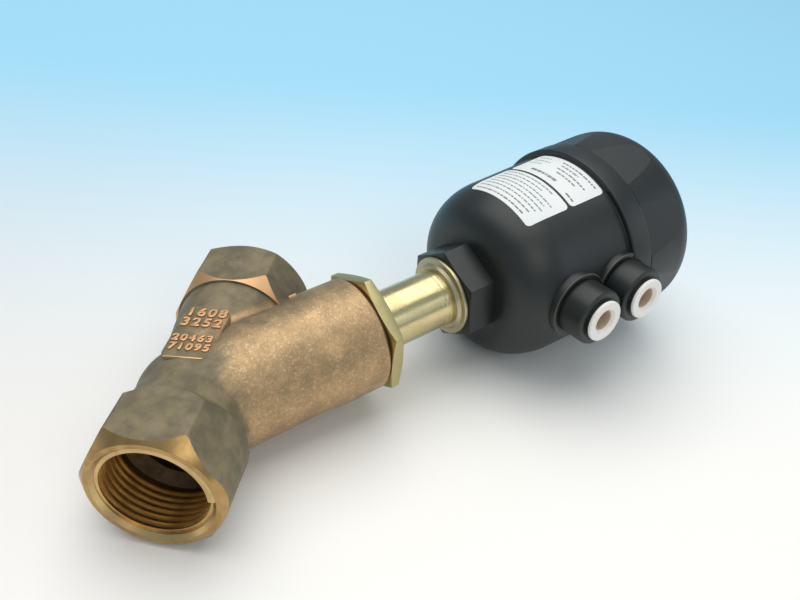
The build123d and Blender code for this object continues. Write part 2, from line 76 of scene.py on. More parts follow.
"""An angle seat valve lying on a bench: cast body, brass nipple and plastic piston actuator.

The CAD frame gives every place: the pipe axis is X, with the inlet thread's mouth near the
origin, and the bonnet axis is the axis of the stem's joint. Forms are drawn in millimetres,
turned pieces about Z, and placed by one of the valve's two frames.
"""

import json
import logging
import math
import random
from dataclasses import dataclass, field
from enum import Enum
from typing import Callable, Optional, Sequence, Union

import bmesh
import bpy
from mathutils import Matrix, Vector

CAD_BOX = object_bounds()
LOG = logging.getLogger("valve")
MM = 0.001
Point = tuple[float, float]
Colour = tuple[float, float, float]


# ------------------------------------------------------------------ frames
@dataclass(frozen=True)
class Axes:
    """The valve's own frames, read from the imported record."""

    bonnet: Matrix
    pipe: Matrix
    crossing: float
    length: float

    @staticmethod
    def read(record: dict) -> "Axes":
        """Work out both frames from the joints and the ports.

        Args:
            record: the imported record.

        Returns:
            Frames that map millimetres of a local drawing to metres in the row.
        """
        joints = {j["name"]: j for j in record["behaviour"]["joints"]}
        mounts = {m["name"]: m for m in record["mounts"]}
        lift = Vector(joints["stem_lift"]["axis"]).normalized()
        point = Vector(joints["actuator_swivel"]["pos_m"])
        crossing = point - lift * (point.y / lift.y)
        side = Vector(mounts["lower_air_port"]["axis"]).normalized()
        pipe_x = Vector((0.0, side.y, side.z)).normalized()
        low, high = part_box("valve_body")
        return Axes(
            bonnet=frame_matrix(crossing, side, lift),
            pipe=frame_matrix(Vector((0, 0, 0)), pipe_x, Vector((1, 0, 0))),
            crossing=-crossing.x / MM,
            length=(high[0] - low[0]) / MM,
        )


def frame_matrix(origin: Vector, x_axis: Vector, z_axis: Vector) -> Matrix:
    """Matrix from a drawing in millimetres to the row in metres.

    Args:
        origin: place of the drawing's origin, in metres.
        x_axis: direction of the drawing's X.
        z_axis: direction of the drawing's Z.

    Returns:
        The 4 by 4 matrix, with the scale from millimetres in it.
    """
    y_axis = z_axis.cross(x_axis)
    turn = Matrix((x_axis, y_axis, z_axis)).transposed().to_4x4()
    return Matrix.Translation(origin) @ turn @ Matrix.Scale(MM, 4)


# ------------------------------------------------------------------ shaders
class Val:
    """A number socket with Python's operators, each of which adds a Math node."""

    def __init__(self, tree: "Tree", socket: Union[float, bpy.types.NodeSocket]) -> None:
        """Wrap a socket or a plain number."""
        self.tree = tree
        self.socket = socket

    def _math(self, operation: str, other: Union["Val", float]) -> "Val":
        """Add a Math node that takes this value first."""
        node = self.tree.node("ShaderNodeMath", dict(operation=operation), {0: self.socket, 1: other})
        return Val(self.tree, node.outputs[0])

    def __add__(self, other: Union["Val", float]) -> "Val":
        """Sum."""
        return self._math("ADD", other)

    def __mul__(self, other: Union["Val", float]) -> "Val":
        """Product."""
        return self._math("MULTIPLY", other)

    def __sub__(self, other: Union["Val", float]) -> "Val":
        """Difference."""
        return self._math("SUBTRACT", other)

    def __truediv__(self, other: Union["Val", float]) -> "Val":
        """Quotient."""
        return self._math("DIVIDE", other)

    def __rsub__(self, other: float) -> "Val":
        """Difference from a plain number."""
        return Val(self.tree, other)._math("SUBTRACT", self)

    __radd__ = __add__
    __rmul__ = __mul__

    def least(self, other: Union["Val", float]) -> "Val":
        """The smaller of two values."""
        return self._math("MINIMUM", other)

    def most(self, other: Union["Val", float]) -> "Val":
        """The larger of two values."""
        return self._math("MAXIMUM", other)

    def smooth(self, low: float, high: float) -> "Val":
        """A soft step from 0 at low to 1 at high."""
        node = self.tree.node(
            "ShaderNodeMapRange",
            dict(interpolation_type="SMOOTHSTEP"),
            {0: self.socket, 1: low, 2: high, 3: 0.0, 4: 1.0},
        )
        return Val(self.tree, node.outputs[0])


class Tree:
    """A node tree being written, in a material or in Geometry Nodes."""

    def __init__(self, tree: bpy.types.NodeTree) -> None:
        """Start on an empty tree."""
        self.tree = tree
        tree.nodes.clear()

    def node(self, kind: str, settings: Optional[dict] = None, inputs: Optional[dict] = None) -> bpy.types.Node:
        """Add a node.

        Args:
            kind: the node's type.
            settings: properties, set before any input.
            inputs: socket name or number to a value, a Val or an output socket.

        Returns:
            The new node.
        """
        made = self.tree.nodes.new(kind)
        for name, value in (settings or {}).items():
            setattr(made, name, value)
        for key, value in (inputs or {}).items():
            socket = made.inputs[key]
            value = value.socket if isinstance(value, Val) else value
            if isinstance(value, bpy.types.NodeSocket):
                self.tree.links.new(value, socket)
            else:
                socket.default_value = value
        return made

    def coords(self) -> bpy.types.NodeSocket:
        """Object coordinates, in metres."""
        return self.node("ShaderNodeTexCoord").outputs["Object"]

    def noise(self, scale: float, detail: float = 3.0, rough: float = 0.55, warp: float = 0.0) -> Val:
        """Noise over the object.

        Args:
            scale: features per metre.
            detail: octaves.
            rough: weight of the fine octaves.
            warp: how far the pattern distorts itself.

        Returns:
            A value about 0.5.
        """
        made = self.node(
            "ShaderNodeTexNoise",
            {},
            {"Vector": self.coords(), "Scale": scale, "Detail": detail, "Roughness": rough, "Distortion": warp},
        )
        return Val(self, made.outputs["Fac"])

    def cells(self, scale: float) -> Val:
        """Random grey of small cells over the object, scale of them to a metre."""
        made = self.node("ShaderNodeTexVoronoi", {}, {"Vector": self.coords(), "Scale": scale})
        split = self.node("ShaderNodeSeparateColor", {}, {0: made.outputs["Color"]})
        return Val(self, split.outputs[0])

    def along(self, origin: Sequence[float], direction: Sequence[float]) -> Val:
        """Distance in millimetres along a direction from a point given in metres."""
        apart = self.node(
            "ShaderNodeVectorMath", dict(operation="SUBTRACT"), {0: self.coords(), 1: tuple(origin)}
        )
        dot = self.node(
            "ShaderNodeVectorMath", dict(operation="DOT_PRODUCT"), {0: apart.outputs[0], 1: tuple(direction)}
        )
        return Val(self, dot.outputs["Value"]) / MM

    def away(self, origin: Sequence[float], axis: Sequence[float]) -> Val:
        """Distance in millimetres from an axis through a point given in metres."""
        apart = self.node(
            "ShaderNodeVectorMath", dict(operation="SUBTRACT"), {0: self.coords(), 1: tuple(origin)}
        )
        turned = self.node(
            "ShaderNodeVectorMath", dict(operation="CROSS_PRODUCT"), {0: apart.outputs[0], 1: tuple(axis)}
        )
        length = self.node("ShaderNodeVectorMath", dict(operation="LENGTH"), {0: turned.outputs[0]})
        return Val(self, length.outputs["Value"]) / MM

    def facing(self, direction: Sequence[float]) -> Val:
        """How far the surface faces a direction, from -1 to 1."""
        normal = self.node("ShaderNodeNewGeometry").outputs["Normal"]
        dot = self.node("ShaderNodeVectorMath", dict(operation="DOT_PRODUCT"), {0: normal, 1: tuple(direction)})
        return Val(self, dot.outputs["Value"])

    def mix(self, mask: Union[Val, float], low: object, high: object) -> bpy.types.NodeSocket:
        """Colour between low and high by mask."""
        made = self.node("ShaderNodeMix", dict(data_type="RGBA"))
        for index, value in ((0, mask), (6, low), (7, high)):
            value = value.socket if isinstance(value, Val) else value
            if isinstance(value, bpy.types.NodeSocket):
                self.tree.links.new(value, made.inputs[index])
            else:
                made.inputs[index].default_value = value if index == 0 else (*value, 1.0)
        return made.outputs[2]

    def bump(self, height: Val, strength: float, depth: float) -> bpy.types.NodeSocket:
        """Normal from a height, with depth in metres."""
        made = self.node("ShaderNodeBump", {}, {"Height": height, "Strength": strength, "Distance": depth})
        return made.outputs[0]

    def surface(self, **inputs: object) -> None:
        """End the material in a Principled shader with these inputs, spaces in names as underscores."""
        named = {key.replace("_", " "): value for key, value in inputs.items()}
        for key in ("Base Color", "Emission Color"):
            if key in named and isinstance(named[key], tuple):
                named[key] = (*named[key], 1.0)
        shader = self.node("ShaderNodeBsdfPrincipled", {}, named)
        self.node("ShaderNodeOutputMaterial", {}, {0: shader.outputs[0]})


def material(name: str) -> tuple[bpy.types.Material, Tree]:
    """A new material and its empty tree."""
    made = bpy.data.materials.new(name)
    made.use_nodes = True
    return made, Tree(made.node_tree)


@dataclass(frozen=True)
class CastBronze:
    """Sand-cast gunmetal: a grey-olive oxide skin, scuffed through to warm bronze at the branch's neck end; the
    branch's side that faces the bonnet frame's X is painted warm and pale as a painted highlight.
    """

    skin: Colour = (0.27, 0.215, 0.122)
    skin_dark: Colour = (0.135, 0.115, 0.070)
    bronze: Colour = (0.42, 0.275, 0.145)
    bronze_pale: Colour = (0.56, 0.385, 0.205)
    glint: Colour = (0.80, 0.60, 0.36)
    grain: float = 3400.0

    def build(self, axes: Axes) -> bpy.types.Material:
        """Write the material.

        Args:
            axes: the valve's frames, for where the skin is scuffed through and where the painted highlight falls.

        Returns:
            The finished material.
        """
        made, tree = material("cast_bronze")
        origin = axes.bonnet.translation
        lift = axes.bonnet.col[2].xyz.normalized()
        side = axes.bonnet.col[0].xyz.normalized()
        reach = tree.along(origin, lift)
        clouds = tree.noise(110.0, 4.0, 0.6, 0.5)
        patches = tree.noise(260.0, 3.0, 0.6, 0.3)
        fine = tree.noise(self.grain, 2.0, 0.6)
        cells = tree.cells(self.grain * 0.7)
        on_branch = (reach + (clouds - 0.5) * 14.0).smooth(0.0, 11.0)
        on_branch = on_branch * (1.0 - tree.away(origin, lift).smooth(16.0, 17.6))
        # Painted highlight: faces of the branch that turn towards the bonnet frame's X get the warm pale bronze, as
        # where the light falls.
        painted_highlight_side = (tree.facing(side) + (patches - 0.5) * 0.5).smooth(-0.75, 0.25)
        worn_end = (reach + (clouds - 0.5) * 10.0).smooth(26.0, 40.0) * 0.75
        # Warm bronze mask: painted highlight on that side, and real wear on the neck end all round.
        wear_and_highlight_mask = on_branch * painted_highlight_side.most(worn_end)
        blotch = (clouds * 0.6 + patches * 0.4).smooth(0.36, 0.66)
        skin = tree.mix(blotch * 0.85 + fine * 0.15, self.skin_dark, self.skin)
        speckle = (fine * 0.5 + cells * 0.35 + patches * 0.3).smooth(0.35, 0.85)
        warm = tree.mix(speckle, self.bronze, self.bronze_pale)
        colour = tree.mix(wear_and_highlight_mask * (0.62 + blotch * 0.38), skin, warm)
        colour = tree.mix(cells.smooth(0.90, 0.99) * wear_and_highlight_mask * 0.25, colour, self.glint)
        height = fine * 0.6 + tree.noise(1100.0, 2.0) * 0.9
        tree.surface(
            Base_Color=colour,
            Roughness=0.54 + fine * 0.12 - wear_and_highlight_mask * 0.13,
            Metallic=0.35 + wear_and_highlight_mask * 0.45,
            Normal=tree.bump(height, 0.4, 0.00007),
        )
        return made


@dataclass(frozen=True)
class Turned:
    """Metal with the fine rings of a lathe about one axis."""

    name: str
    colour: Colour
    dark: Colour
    rough: float = 0.22
    rings: float = 9000.0
    ring_depth: float = 0.25
    stain: float = 0.35
    metallic: float = 1.0

    def build(self, frame_matrix_: Matrix) -> bpy.types.Material:
        """Write the material.

        Args:
            frame_matrix_: the frame whose Z is the lathe's axis.

        Returns:
            The finished material.
        """
        made, tree = material(self.name)
        axis = frame_matrix_.col[2].xyz.normalized()
        origin = frame_matrix_.translation
        reach, radius = tree.along(origin, axis) * MM, tree.away(origin, axis) * MM
        place = tree.node("ShaderNodeCombineXYZ", {}, {0: reach, 1: radius, 2: 0.0})
        lines = tree.node(
            "ShaderNodeTexNoise",
            {},
            {"Vector": place.outputs[0], "Scale": self.rings, "Detail": 1.0, "Roughness": 0.5},
        )
        rings = Val(tree, lines.outputs["Fac"])
        stains = tree.noise(160.0, 4.0, 0.65, 0.6).smooth(0.35, 0.75)
        colour = tree.mix(stains * self.stain + rings * 0.18, self.colour, self.dark)
        tree.surface(
            Base_Color=colour,
            Metallic=self.metallic,
            Roughness=self.rough + stains * 0.12 + rings * 0.06,
            Normal=tree.bump(rings, self.ring_depth, 0.00003),
        )
        return made


@dataclass(frozen=True)
class Moulded:
    """Moulded plastic or rubber, with a faint uneven gloss and a fine skin."""

    name: str
    colour: Colour
    mottled: Colour
    rough: float = 0.4
    grain: float = 1800.0
    depth: float = 0.00004
    subsurface: float = 0.0
    transmission: float = 0.0

    def build(self) -> bpy.types.Material:
        """Write the material and return it."""
        made, tree = material(self.name)
        fine = tree.noise(self.grain, 2.0, 0.6)
        broad = tree.noise(70.0, 3.0, 0.6, 0.3)
        scuffs = tree.noise(420.0, 5.0, 0.72, 1.2).smooth(0.60, 0.80)
        tree.surface(
            Base_Color=tree.mix(broad.smooth(0.35, 0.7) * 0.8 + scuffs * 0.2, self.colour, self.mottled),
            Roughness=self.rough + broad * 0.10 - scuffs * 0.05,
            Normal=tree.bump(fine * 0.8 + scuffs * 0.3, 0.4, self.depth),
            Subsurface_Weight=self.subsurface,
            Subsurface_Radius=(0.002, 0.0016, 0.0012),
            Transmission_Weight=self.transmission,
        )
        return made


class Finish(Enum):
    """The finishes that the valve's pieces take."""

    CAST = "cast_bronze"
    CUT = "cut_bronze"
    BORE = "threaded_bore"
    # Dark finish inside the body: painted shade.
    SHADED_DEEP = "inner_passage"
    RAW = "milled_copper_bronze"
    BRASS = "satin_brass"
    TUBE = "polished_brass"
    PLATED = "plated_steel"
    STEEL = "turned_steel"
    BLACK = "black_polyamide"
    WHITE = "white_collet"
    BEIGE = "beige_sleeve"
    PAPER = "label_paper"
    PRINT = "label_print"
    CLEAR = "clear_window"
    ORANGE = "orange_pointer"
    GREY = "grey_polyamide"
    RUBBER = "seal_rubber"
    PTFE = "white_ptfe"
    # Pale edges of the black moulding: painted highlight.
    EDGE_HIGHLIGHT = "worn_black_edge"
    GRAPHITE = "graphite"


class Palette:
    """Every finish of the valve, built once."""

    def __init__(self, axes: Axes) -> None:
        """Build the materials.

        Args:
            axes: the valve's frames.
        """
        bonnet, pipe = axes.bonnet, axes.pipe
        turned = (
            (Turned("cut_bronze", (0.50, 0.330, 0.135), (0.25, 0.150, 0.058), 0.25, 7000.0, 0.35, 0.6), pipe),
            (Turned("threaded_bore", (0.66, 0.470, 0.225), (0.36, 0.230, 0.100), 0.26, 7000.0, 0.3, 0.5), pipe),
            # Dark brown for the passages inside the body: painted shade where little light reaches.
            (Turned("inner_passage", (0.13, 0.080, 0.040), (0.05, 0.032, 0.018), 0.45, 2000.0, 0.4, 0.6), pipe),
            (Turned("milled_copper_bronze", (0.76, 0.46, 0.24), (0.52, 0.31, 0.15), 0.38, 5000.0, 0.4, 0.3), pipe),
            (Turned("satin_brass", (0.50, 0.43, 0.215), (0.36, 0.315, 0.155), 0.36, 6000.0, 0.25, 0.35), bonnet),
            (Turned("polished_brass", (0.72, 0.60, 0.32), (0.50, 0.41, 0.20), 0.17, 9000.0, 0.3, 0.25), bonnet),
            (Turned("plated_steel", (0.50, 0.45, 0.29), (0.33, 0.30, 0.19), 0.3, 8000.0, 0.2, 0.3), bonnet),
            (Turned("turned_steel", (0.60, 0.60, 0.60), (0.42, 0.42, 0.42), 0.28, 8000.0, 0.2, 0.2), bonnet),
        )
        moulded = (
            Moulded("black_polyamide", (0.0080, 0.0115, 0.0115), (0.0125, 0.0160, 0.0145), 0.36),
            # Pale brown for edges of the black moulding: painted highlight along them.
            Moulded("worn_black_edge", (0.085, 0.075, 0.055), (0.045, 0.045, 0.038), 0.42),
            Moulded("white_collet", (0.84, 0.82, 0.78), (0.78, 0.76, 0.71), 0.34, subsurface=0.2),
            Moulded("beige_sleeve", (0.70, 0.56, 0.40), (0.60, 0.47, 0.33), 0.35),
            Moulded("label_paper", (0.80, 0.82, 0.80), (0.76, 0.78, 0.77), 0.45, 2500.0, 0.00001),
            Moulded("label_print", (0.19, 0.20, 0.21), (0.30, 0.31, 0.32), 0.5),
            Moulded("clear_window", (0.92, 0.95, 0.95), (0.90, 0.93, 0.93), 0.08, transmission=1.0),
            Moulded("orange_pointer", (0.80, 0.24, 0.03), (0.70, 0.20, 0.03), 0.35),
            Moulded("grey_polyamide", (0.22, 0.23, 0.23), (0.18, 0.19, 0.19), 0.45),
            Moulded("seal_rubber", (0.012, 0.012, 0.012), (0.02, 0.02, 0.02), 0.55),
            Moulded("white_ptfe", (0.78, 0.78, 0.74), (0.72, 0.72, 0.68), 0.42),
            Moulded("graphite", (0.045, 0.036, 0.028), (0.075, 0.050, 0.030), 0.5),
        )
        self.made = {Finish.CAST: CastBronze().build(axes)}
        for finish, lathe_frame in turned:
            self.made[Finish(finish.name)] = finish.build(lathe_frame)
        for finish in moulded:
            self.made[Finish(finish.name)] = finish.build()

    def __getitem__(self, finish: Finish) -> bpy.types.Material:
        """The material of a finish."""
        return self.made[finish]


# ------------------------------------------------------------------ forms
def link(name: str, mesh: bpy.types.Mesh) -> bpy.types.Object:
    """A new object in the scene with that mesh."""
    made = bpy.data.objects.new(name, mesh)
    bpy.context.scene.collection.objects.link(made)
    return made


def drop(thing: bpy.types.Object) -> None:
    """Delete an object and its mesh."""
    data = thing.data
    bpy.data.objects.remove(thing)
    if isinstance(data, bpy.types.Mesh) and not data.users:
        bpy.data.meshes.remove(data)


def rounded(points: Sequence[Sequence[float]], steps: int = 5) -> list[Point]:
    """Round the corners of an outline.

    Args:
        points: (x, y) or (x, y, radius) in order round a closed outline.
        steps: points on each arc, less one.

    Returns:
        The outline's points, with an arc at each corner that has a radius.
    """
    out: list[Point] = []
    count = len(points)
    for i, point in enumerate(points):
        here = Vector(point[:2])
        radius = point[2] if len(point) > 2 else 0.0
        if radius <= 0:
            out.append((here.x, here.y))
            continue
        back = (Vector(points[i - 1][:2]) - here).normalized()
        ahead = (Vector(points[(i + 1) % count][:2]) - here).normalized()
        half = back.angle(ahead) / 2
        centre = here + (back + ahead).normalized() * (radius / math.sin(half))
        start = here + back * (radius / math.tan(half)) - centre
        end = here + ahead * (radius / math.tan(half)) - centre
        sweep = start.angle_signed(end)
        for k in range(steps + 1):
            spoke = start.copy()
            spoke.rotate(Matrix.Rotation(-sweep * k / steps, 2))
            out.append((centre.x + spoke.x, centre.y + spoke.y))
    return out


def lathe(name: str, profile: Sequence[Point], finish: bpy.types.Material, segments: int = 128) -> bpy.types.Object:
    """Solid turned about Z.

    Args:
        name: the object's name.
        profile: (radius, height) round a closed outline, in millimetres.
        finish: its material.
        segments: sides round the axis.

    Returns:
        The closed object, still in millimetres.
    """
    mesh = bpy.data.meshes.new(name)
    shape = bmesh.new()
    rings: list[list[bmesh.types.BMVert]] = []
    for radius, height in profile:
        if radius < 1e-6:
            rings.append([shape.verts.new((0, 0, height))])
            continue
        angles = [2 * math.pi * k / segments for k in range(segments)]
        rings.append([shape.verts.new((radius * math.cos(a), radius * math.sin(a), height)) for a in angles])
    for low, high in zip(rings, rings[1:] + rings[:1]):
        if len(low) == 1 and len(high) == 1:
            continue
        for k in range(segments):
            n = (k + 1) % segments
            corners = [low[k % len(low)], low[n % len(low)], high[n % len(high)], high[k % len(high)]]
            shape.faces.new(list(dict.fromkeys(corners)))
    bmesh.ops.recalc_face_normals(shape, faces=shape.faces)
    shape.to_mesh(mesh)
    shape.free()
    mesh.materials.append(finish)
    return link(name, mesh)


def prism(
    name: str, outline: Sequence[Point], bottom: float, top: float, finish: bpy.types.Material
) -> bpy.types.Object:
    """Straight bar with that outline from bottom to top, in millimetres."""
    mesh = bpy.data.meshes.new(name)
    shape = bmesh.new()
    low = [shape.verts.new((x, y, bottom)) for x, y in outline]
    high = [shape.verts.new((x, y, top)) for x, y in outline]
    count = len(outline)
    for k in range(count):
        n = (k + 1) % count
        shape.faces.new((low[k], low[n], high[n], high[k]))
    shape.faces.new(high)
    shape.faces.new(list(reversed(low)))
    bmesh.ops.recalc_face_normals(shape, faces=shape.faces)
    shape.to_mesh(mesh)
    shape.free()
    mesh.materials.append(finish)
    return link(name, mesh)


def hexagon(across_flats: float, corners: Union[float, Sequence[float]], turn: float = 0.0) -> list[Point]:
    """Outline of a hexagon.

    Args:
        across_flats: distance between opposite flats.
        corners: rounding of every corner, or of each in turn from the one at angle turn.
        turn: angle of the first corner, in degrees.

    Returns:
        The outline's points.
    """
    radius = across_flats / 2 / math.cos(math.pi / 6)
    radii = [corners] * 6 if isinstance(corners, float) else corners
    angles = [math.radians(turn + 60 * i) for i in range(6)]
    return rounded([(radius * math.cos(a), radius * math.sin(a), r) for a, r in zip(angles, radii)], 8)


def evaluated(thing: bpy.types.Object) -> bpy.types.Mesh:
    """The mesh of an object with its modifiers applied."""
    graph = bpy.context.evaluated_depsgraph_get()
    graph.update()
    return bpy.data.meshes.new_from_object(thing.evaluated_get(graph))


def bake(thing: bpy.types.Object) -> bpy.types.Object:
    """Apply every modifier of an object to its mesh."""
    old = thing.data
    thing.data = evaluated(thing)
    thing.modifiers.clear()
    if not old.users:
        bpy.data.meshes.remove(old)
    return thing


class Cut(Enum):
    """How one solid acts on another."""

    UNION = "UNION"
    TAKE = "DIFFERENCE"
    KEEP = "INTERSECT"


def combine(first: bpy.types.Object, second: bpy.types.Object, how: Cut) -> bpy.types.Object:
    """Join, cut or intersect two solids, keeping each face's finish, and delete the second."""
    change = first.modifiers.new("cut", "BOOLEAN")
    change.operation = how.value
    change.solver = "EXACT"
    change.material_mode = "TRANSFER"
    change.object = second
    bake(first)
    drop(second)
    return first


def placed(thing: bpy.types.Object, place: Matrix) -> bpy.types.Object:
    """Move an object's mesh from its drawing to its place."""
    thing.data.transform(place)
    thing.data.update()
    return thing


def soften(
    thing: bpy.types.Object,
    width: float,
    angle: float = 30.0,
    steps: int = 2,
    finish: Optional[bpy.types.Material] = None,
) -> bpy.types.Object:
    """Bevel sharp edges.

    Args:
        thing: the object, changed in place.
        width: width of the bevel, in millimetres.
        angle: least turn of an edge that is bevelled, in degrees.
        steps: faces across the bevel.
        finish: a finish of its own for the bevelled faces.

    Returns:
        The object.
    """
    edge = thing.modifiers.new("edge", "BEVEL")
    edge.width = width
    edge.segments = steps
    edge.limit_method = "ANGLE"
    edge.angle_limit = math.radians(angle)
    edge.use_clamp_overlap = True
    if finish:
        thing.data.materials.append(finish)
        edge.material = len(thing.data.materials) - 1
    return bake(thing)


def shade(thing: bpy.types.Object, angle: float = 32.0) -> bpy.types.Object:
    """Merge doubles and shade smooth up to angle."""
    shape = bmesh.new()
    shape.from_mesh(thing.data)
    bmesh.ops.remove_doubles(shape, verts=shape.verts, dist=1e-6)
    bmesh.ops.dissolve_degenerate(shape, dist=1e-7, edges=shape.edges)
    shape.to_mesh(thing.data)
    shape.free()
    thing.data.polygons.foreach_set("use_smooth", [True] * len(thing.data.polygons))
    thing.data.set_sharp_from_angle(angle=math.radians(angle))
    return thing


def paint(thing: bpy.types.Object, finish: bpy.types.Material, low: float, high: float) -> bpy.types.Object:
    """Give a drawing's faces between two heights another finish, and return the object."""
    thing.data.materials.append(finish)
    slot = len(thing.data.materials) - 1
    for face in thing.data.polygons:
        if low < face.center.z < high:
            face.material_index = slot
    return thing


def turned_frame(place: Matrix, height: float) -> Matrix:
    """Frame of an air connector: its Z runs out of the boss at that height."""
    return place @ Matrix.Translation((0, 0, height)) @ Matrix.Rotation(math.pi / 2, 4, "Y")


# ------------------------------------------------------------------ geometry nodes
class Grower(Tree):
    """A Geometry Nodes tree with named inputs, run once on an empty mesh."""

    def __init__(self, name: str, sizes: dict[str, float]) -> None:
        """Start a tree.

        Args:
            name: the tree's name.
            sizes: each named input and its value.
        """
        group = bpy.data.node_groups.new(name, "GeometryNodeTree")
        super().__init__(group)
        group.interface.new_socket("Geometry", in_out="OUTPUT", socket_type="NodeSocketGeometry")
        self.sizes = sizes
        self.ids: dict[str, str] = {}
        for key, value in sizes.items():
            kind = "NodeSocketInt" if isinstance(value, int) else "NodeSocketFloat"
            socket = group.interface.new_socket(key, in_out="INPUT", socket_type=kind)
            self.ids[key] = socket.identifier
        self.inputs = self.node("NodeGroupInput")

    def size(self, key: str) -> Val:
        """A named input."""
        return Val(self, self.inputs.outputs[key])

    def grow(self, name: str, shape: bpy.types.NodeSocket, finish: bpy.types.Material) -> bpy.types.Object:
        """Finish the tree and turn its result into a plain mesh object.

        Args:
            name: the object's name.
            shape: the geometry that the tree makes.
            finish: its material.

        Returns:
            The object, in millimetres.
        """
        real = self.node("GeometryNodeRealizeInstances", {}, {0: shape})
        dressed = self.node("GeometryNodeSetMaterial", {}, {"Geometry": real.outputs[0], "Material": finish})
        self.node("NodeGroupOutput", {}, {0: dressed.outputs[0]})
        made = link(name, bpy.data.meshes.new(name))
        change = made.modifiers.new("grow", "NODES")
        change.node_group = self.tree
        for key, value in self.sizes.items():
            change[self.ids[key]] = value
        bake(made)
        if not made.data.materials:
            made.data.materials.append(finish)
        return made


def thread_ridge(
    name: str, radius: float, pitch: float, turns: float, depth: float, finish: bpy.types.Material
) -> bpy.types.Object:
    """Helical ridge of an inner pipe thread, about Z, from height 0 down, that fades at both ends.

    Args:
        name: the object's name.
        radius: radius of the thread's root, in millimetres.
        pitch: rise of one turn.
        turns: number of turns.
        depth: how far the crest stands in from the root.
        finish: its material.

    Returns:
        The ridge as an object.
    """
    tree = Grower(name, dict(Radius=radius, Pitch=pitch, Turns=turns, Depth=depth))
    pitch_in, depth_in, turns_in = tree.size("Pitch"), tree.size("Depth"), tree.size("Turns")
    path = tree.node(
        "GeometryNodeCurveSpiral",
        {},
        {
            "Resolution": 90,
            "Rotations": turns_in,
            "Start Radius": tree.size("Radius"),
            "End Radius": tree.size("Radius"),
            "Height": pitch_in * turns_in,
        },
    )
    upright = tree.node("GeometryNodeSetCurveNormal", dict(mode="Z_UP"), {"Curve": path.outputs[0]})
    along = Val(tree, tree.node("GeometryNodeSplineParameter").outputs["Factor"]) * turns_in
    fade = (along * 2.5).least((turns_in - along) * 2.5).least(1.0).most(0.02)
    faded = tree.node("GeometryNodeSetCurveRadius", {}, {"Curve": upright.outputs[0], "Radius": fade})
    section = tree.node(
        "GeometryNodeCurvePrimitiveQuadrilateral",
        dict(mode="TRAPEZOID"),
        {"Bottom Width": pitch_in * 0.94, "Top Width": pitch_in * 0.20, "Height": depth_in * 2, "Offset": 0.0},
    )
    swept = tree.node(
        "GeometryNodeCurveToMesh",
        {},
        {"Curve": faded.outputs[0], "Profile Curve": section.outputs[0], "Fill Caps": True},
    )
    made = tree.grow(name, swept.outputs[0], finish)
    placed(made, Matrix.Translation((0, 0, -pitch * turns)))
    return made


def ring_of_cutters(
    name: str, count: int, radius: float, size: Sequence[float], lean: float, turn: float, finish: bpy.types.Material
) -> bpy.types.Object:
    """Blocks in a ring about Z that lean outwards, which cut a cap's grip flats.

    Args:
        name: the object's name.
        count: number of blocks.
        radius: radius of their inner faces at height 0.
        size: depth, width and height of a block.
        lean: angle that the inner faces lean out by, in degrees.
        turn: angle of the first block, in degrees.
        finish: the material of the cut faces.

    Returns:
        The blocks as one object.
    """
    sizes = dict(Count=count, Radius=radius, Depth=size[0], Width=size[1], Height=size[2])
    tree = Grower(name, dict(sizes, Lean=math.radians(lean), Turn=math.radians(turn)))
    depth, height = tree.size("Depth"), tree.size("Height")
    block_size = tree.node("ShaderNodeCombineXYZ", {}, {0: depth, 1: tree.size("Width"), 2: height})
    block = tree.node("GeometryNodeMeshCube", {}, {"Size": block_size.outputs[0]})
    to_foot = tree.node("ShaderNodeCombineXYZ", {}, {0: depth * 0.5, 1: 0.0, 2: height * 0.5 - 2.0})
    standing = tree.node(
        "GeometryNodeTransform", {}, {"Geometry": block.outputs[0], "Translation": to_foot.outputs[0]}
    )
    ring = tree.node(
        "GeometryNodeMeshCircle", {}, {"Vertices": tree.size("Count"), "Radius": tree.size("Radius")}
    )
    index = Val(tree, tree.node("GeometryNodeInputIndex").outputs[0])
    angle = index * (2 * math.pi) / tree.size("Count")
    spin = tree.node("ShaderNodeCombineXYZ", {}, {1: tree.size("Lean"), 2: angle})
    set_out = tree.node(
        "GeometryNodeInstanceOnPoints",
        {},
        {"Points": ring.outputs[0], "Instance": standing.outputs[0], "Rotation": spin.outputs[0]},
    )
    whole_turn = tree.node("ShaderNodeCombineXYZ", {}, {2: tree.size("Turn")})
    whole = tree.node(
        "GeometryNodeTransform", {}, {"Geometry": set_out.outputs[0], "Rotation": whole_turn.outputs[0]}
    )
    return tree.grow(name, whole.outputs[0], finish)


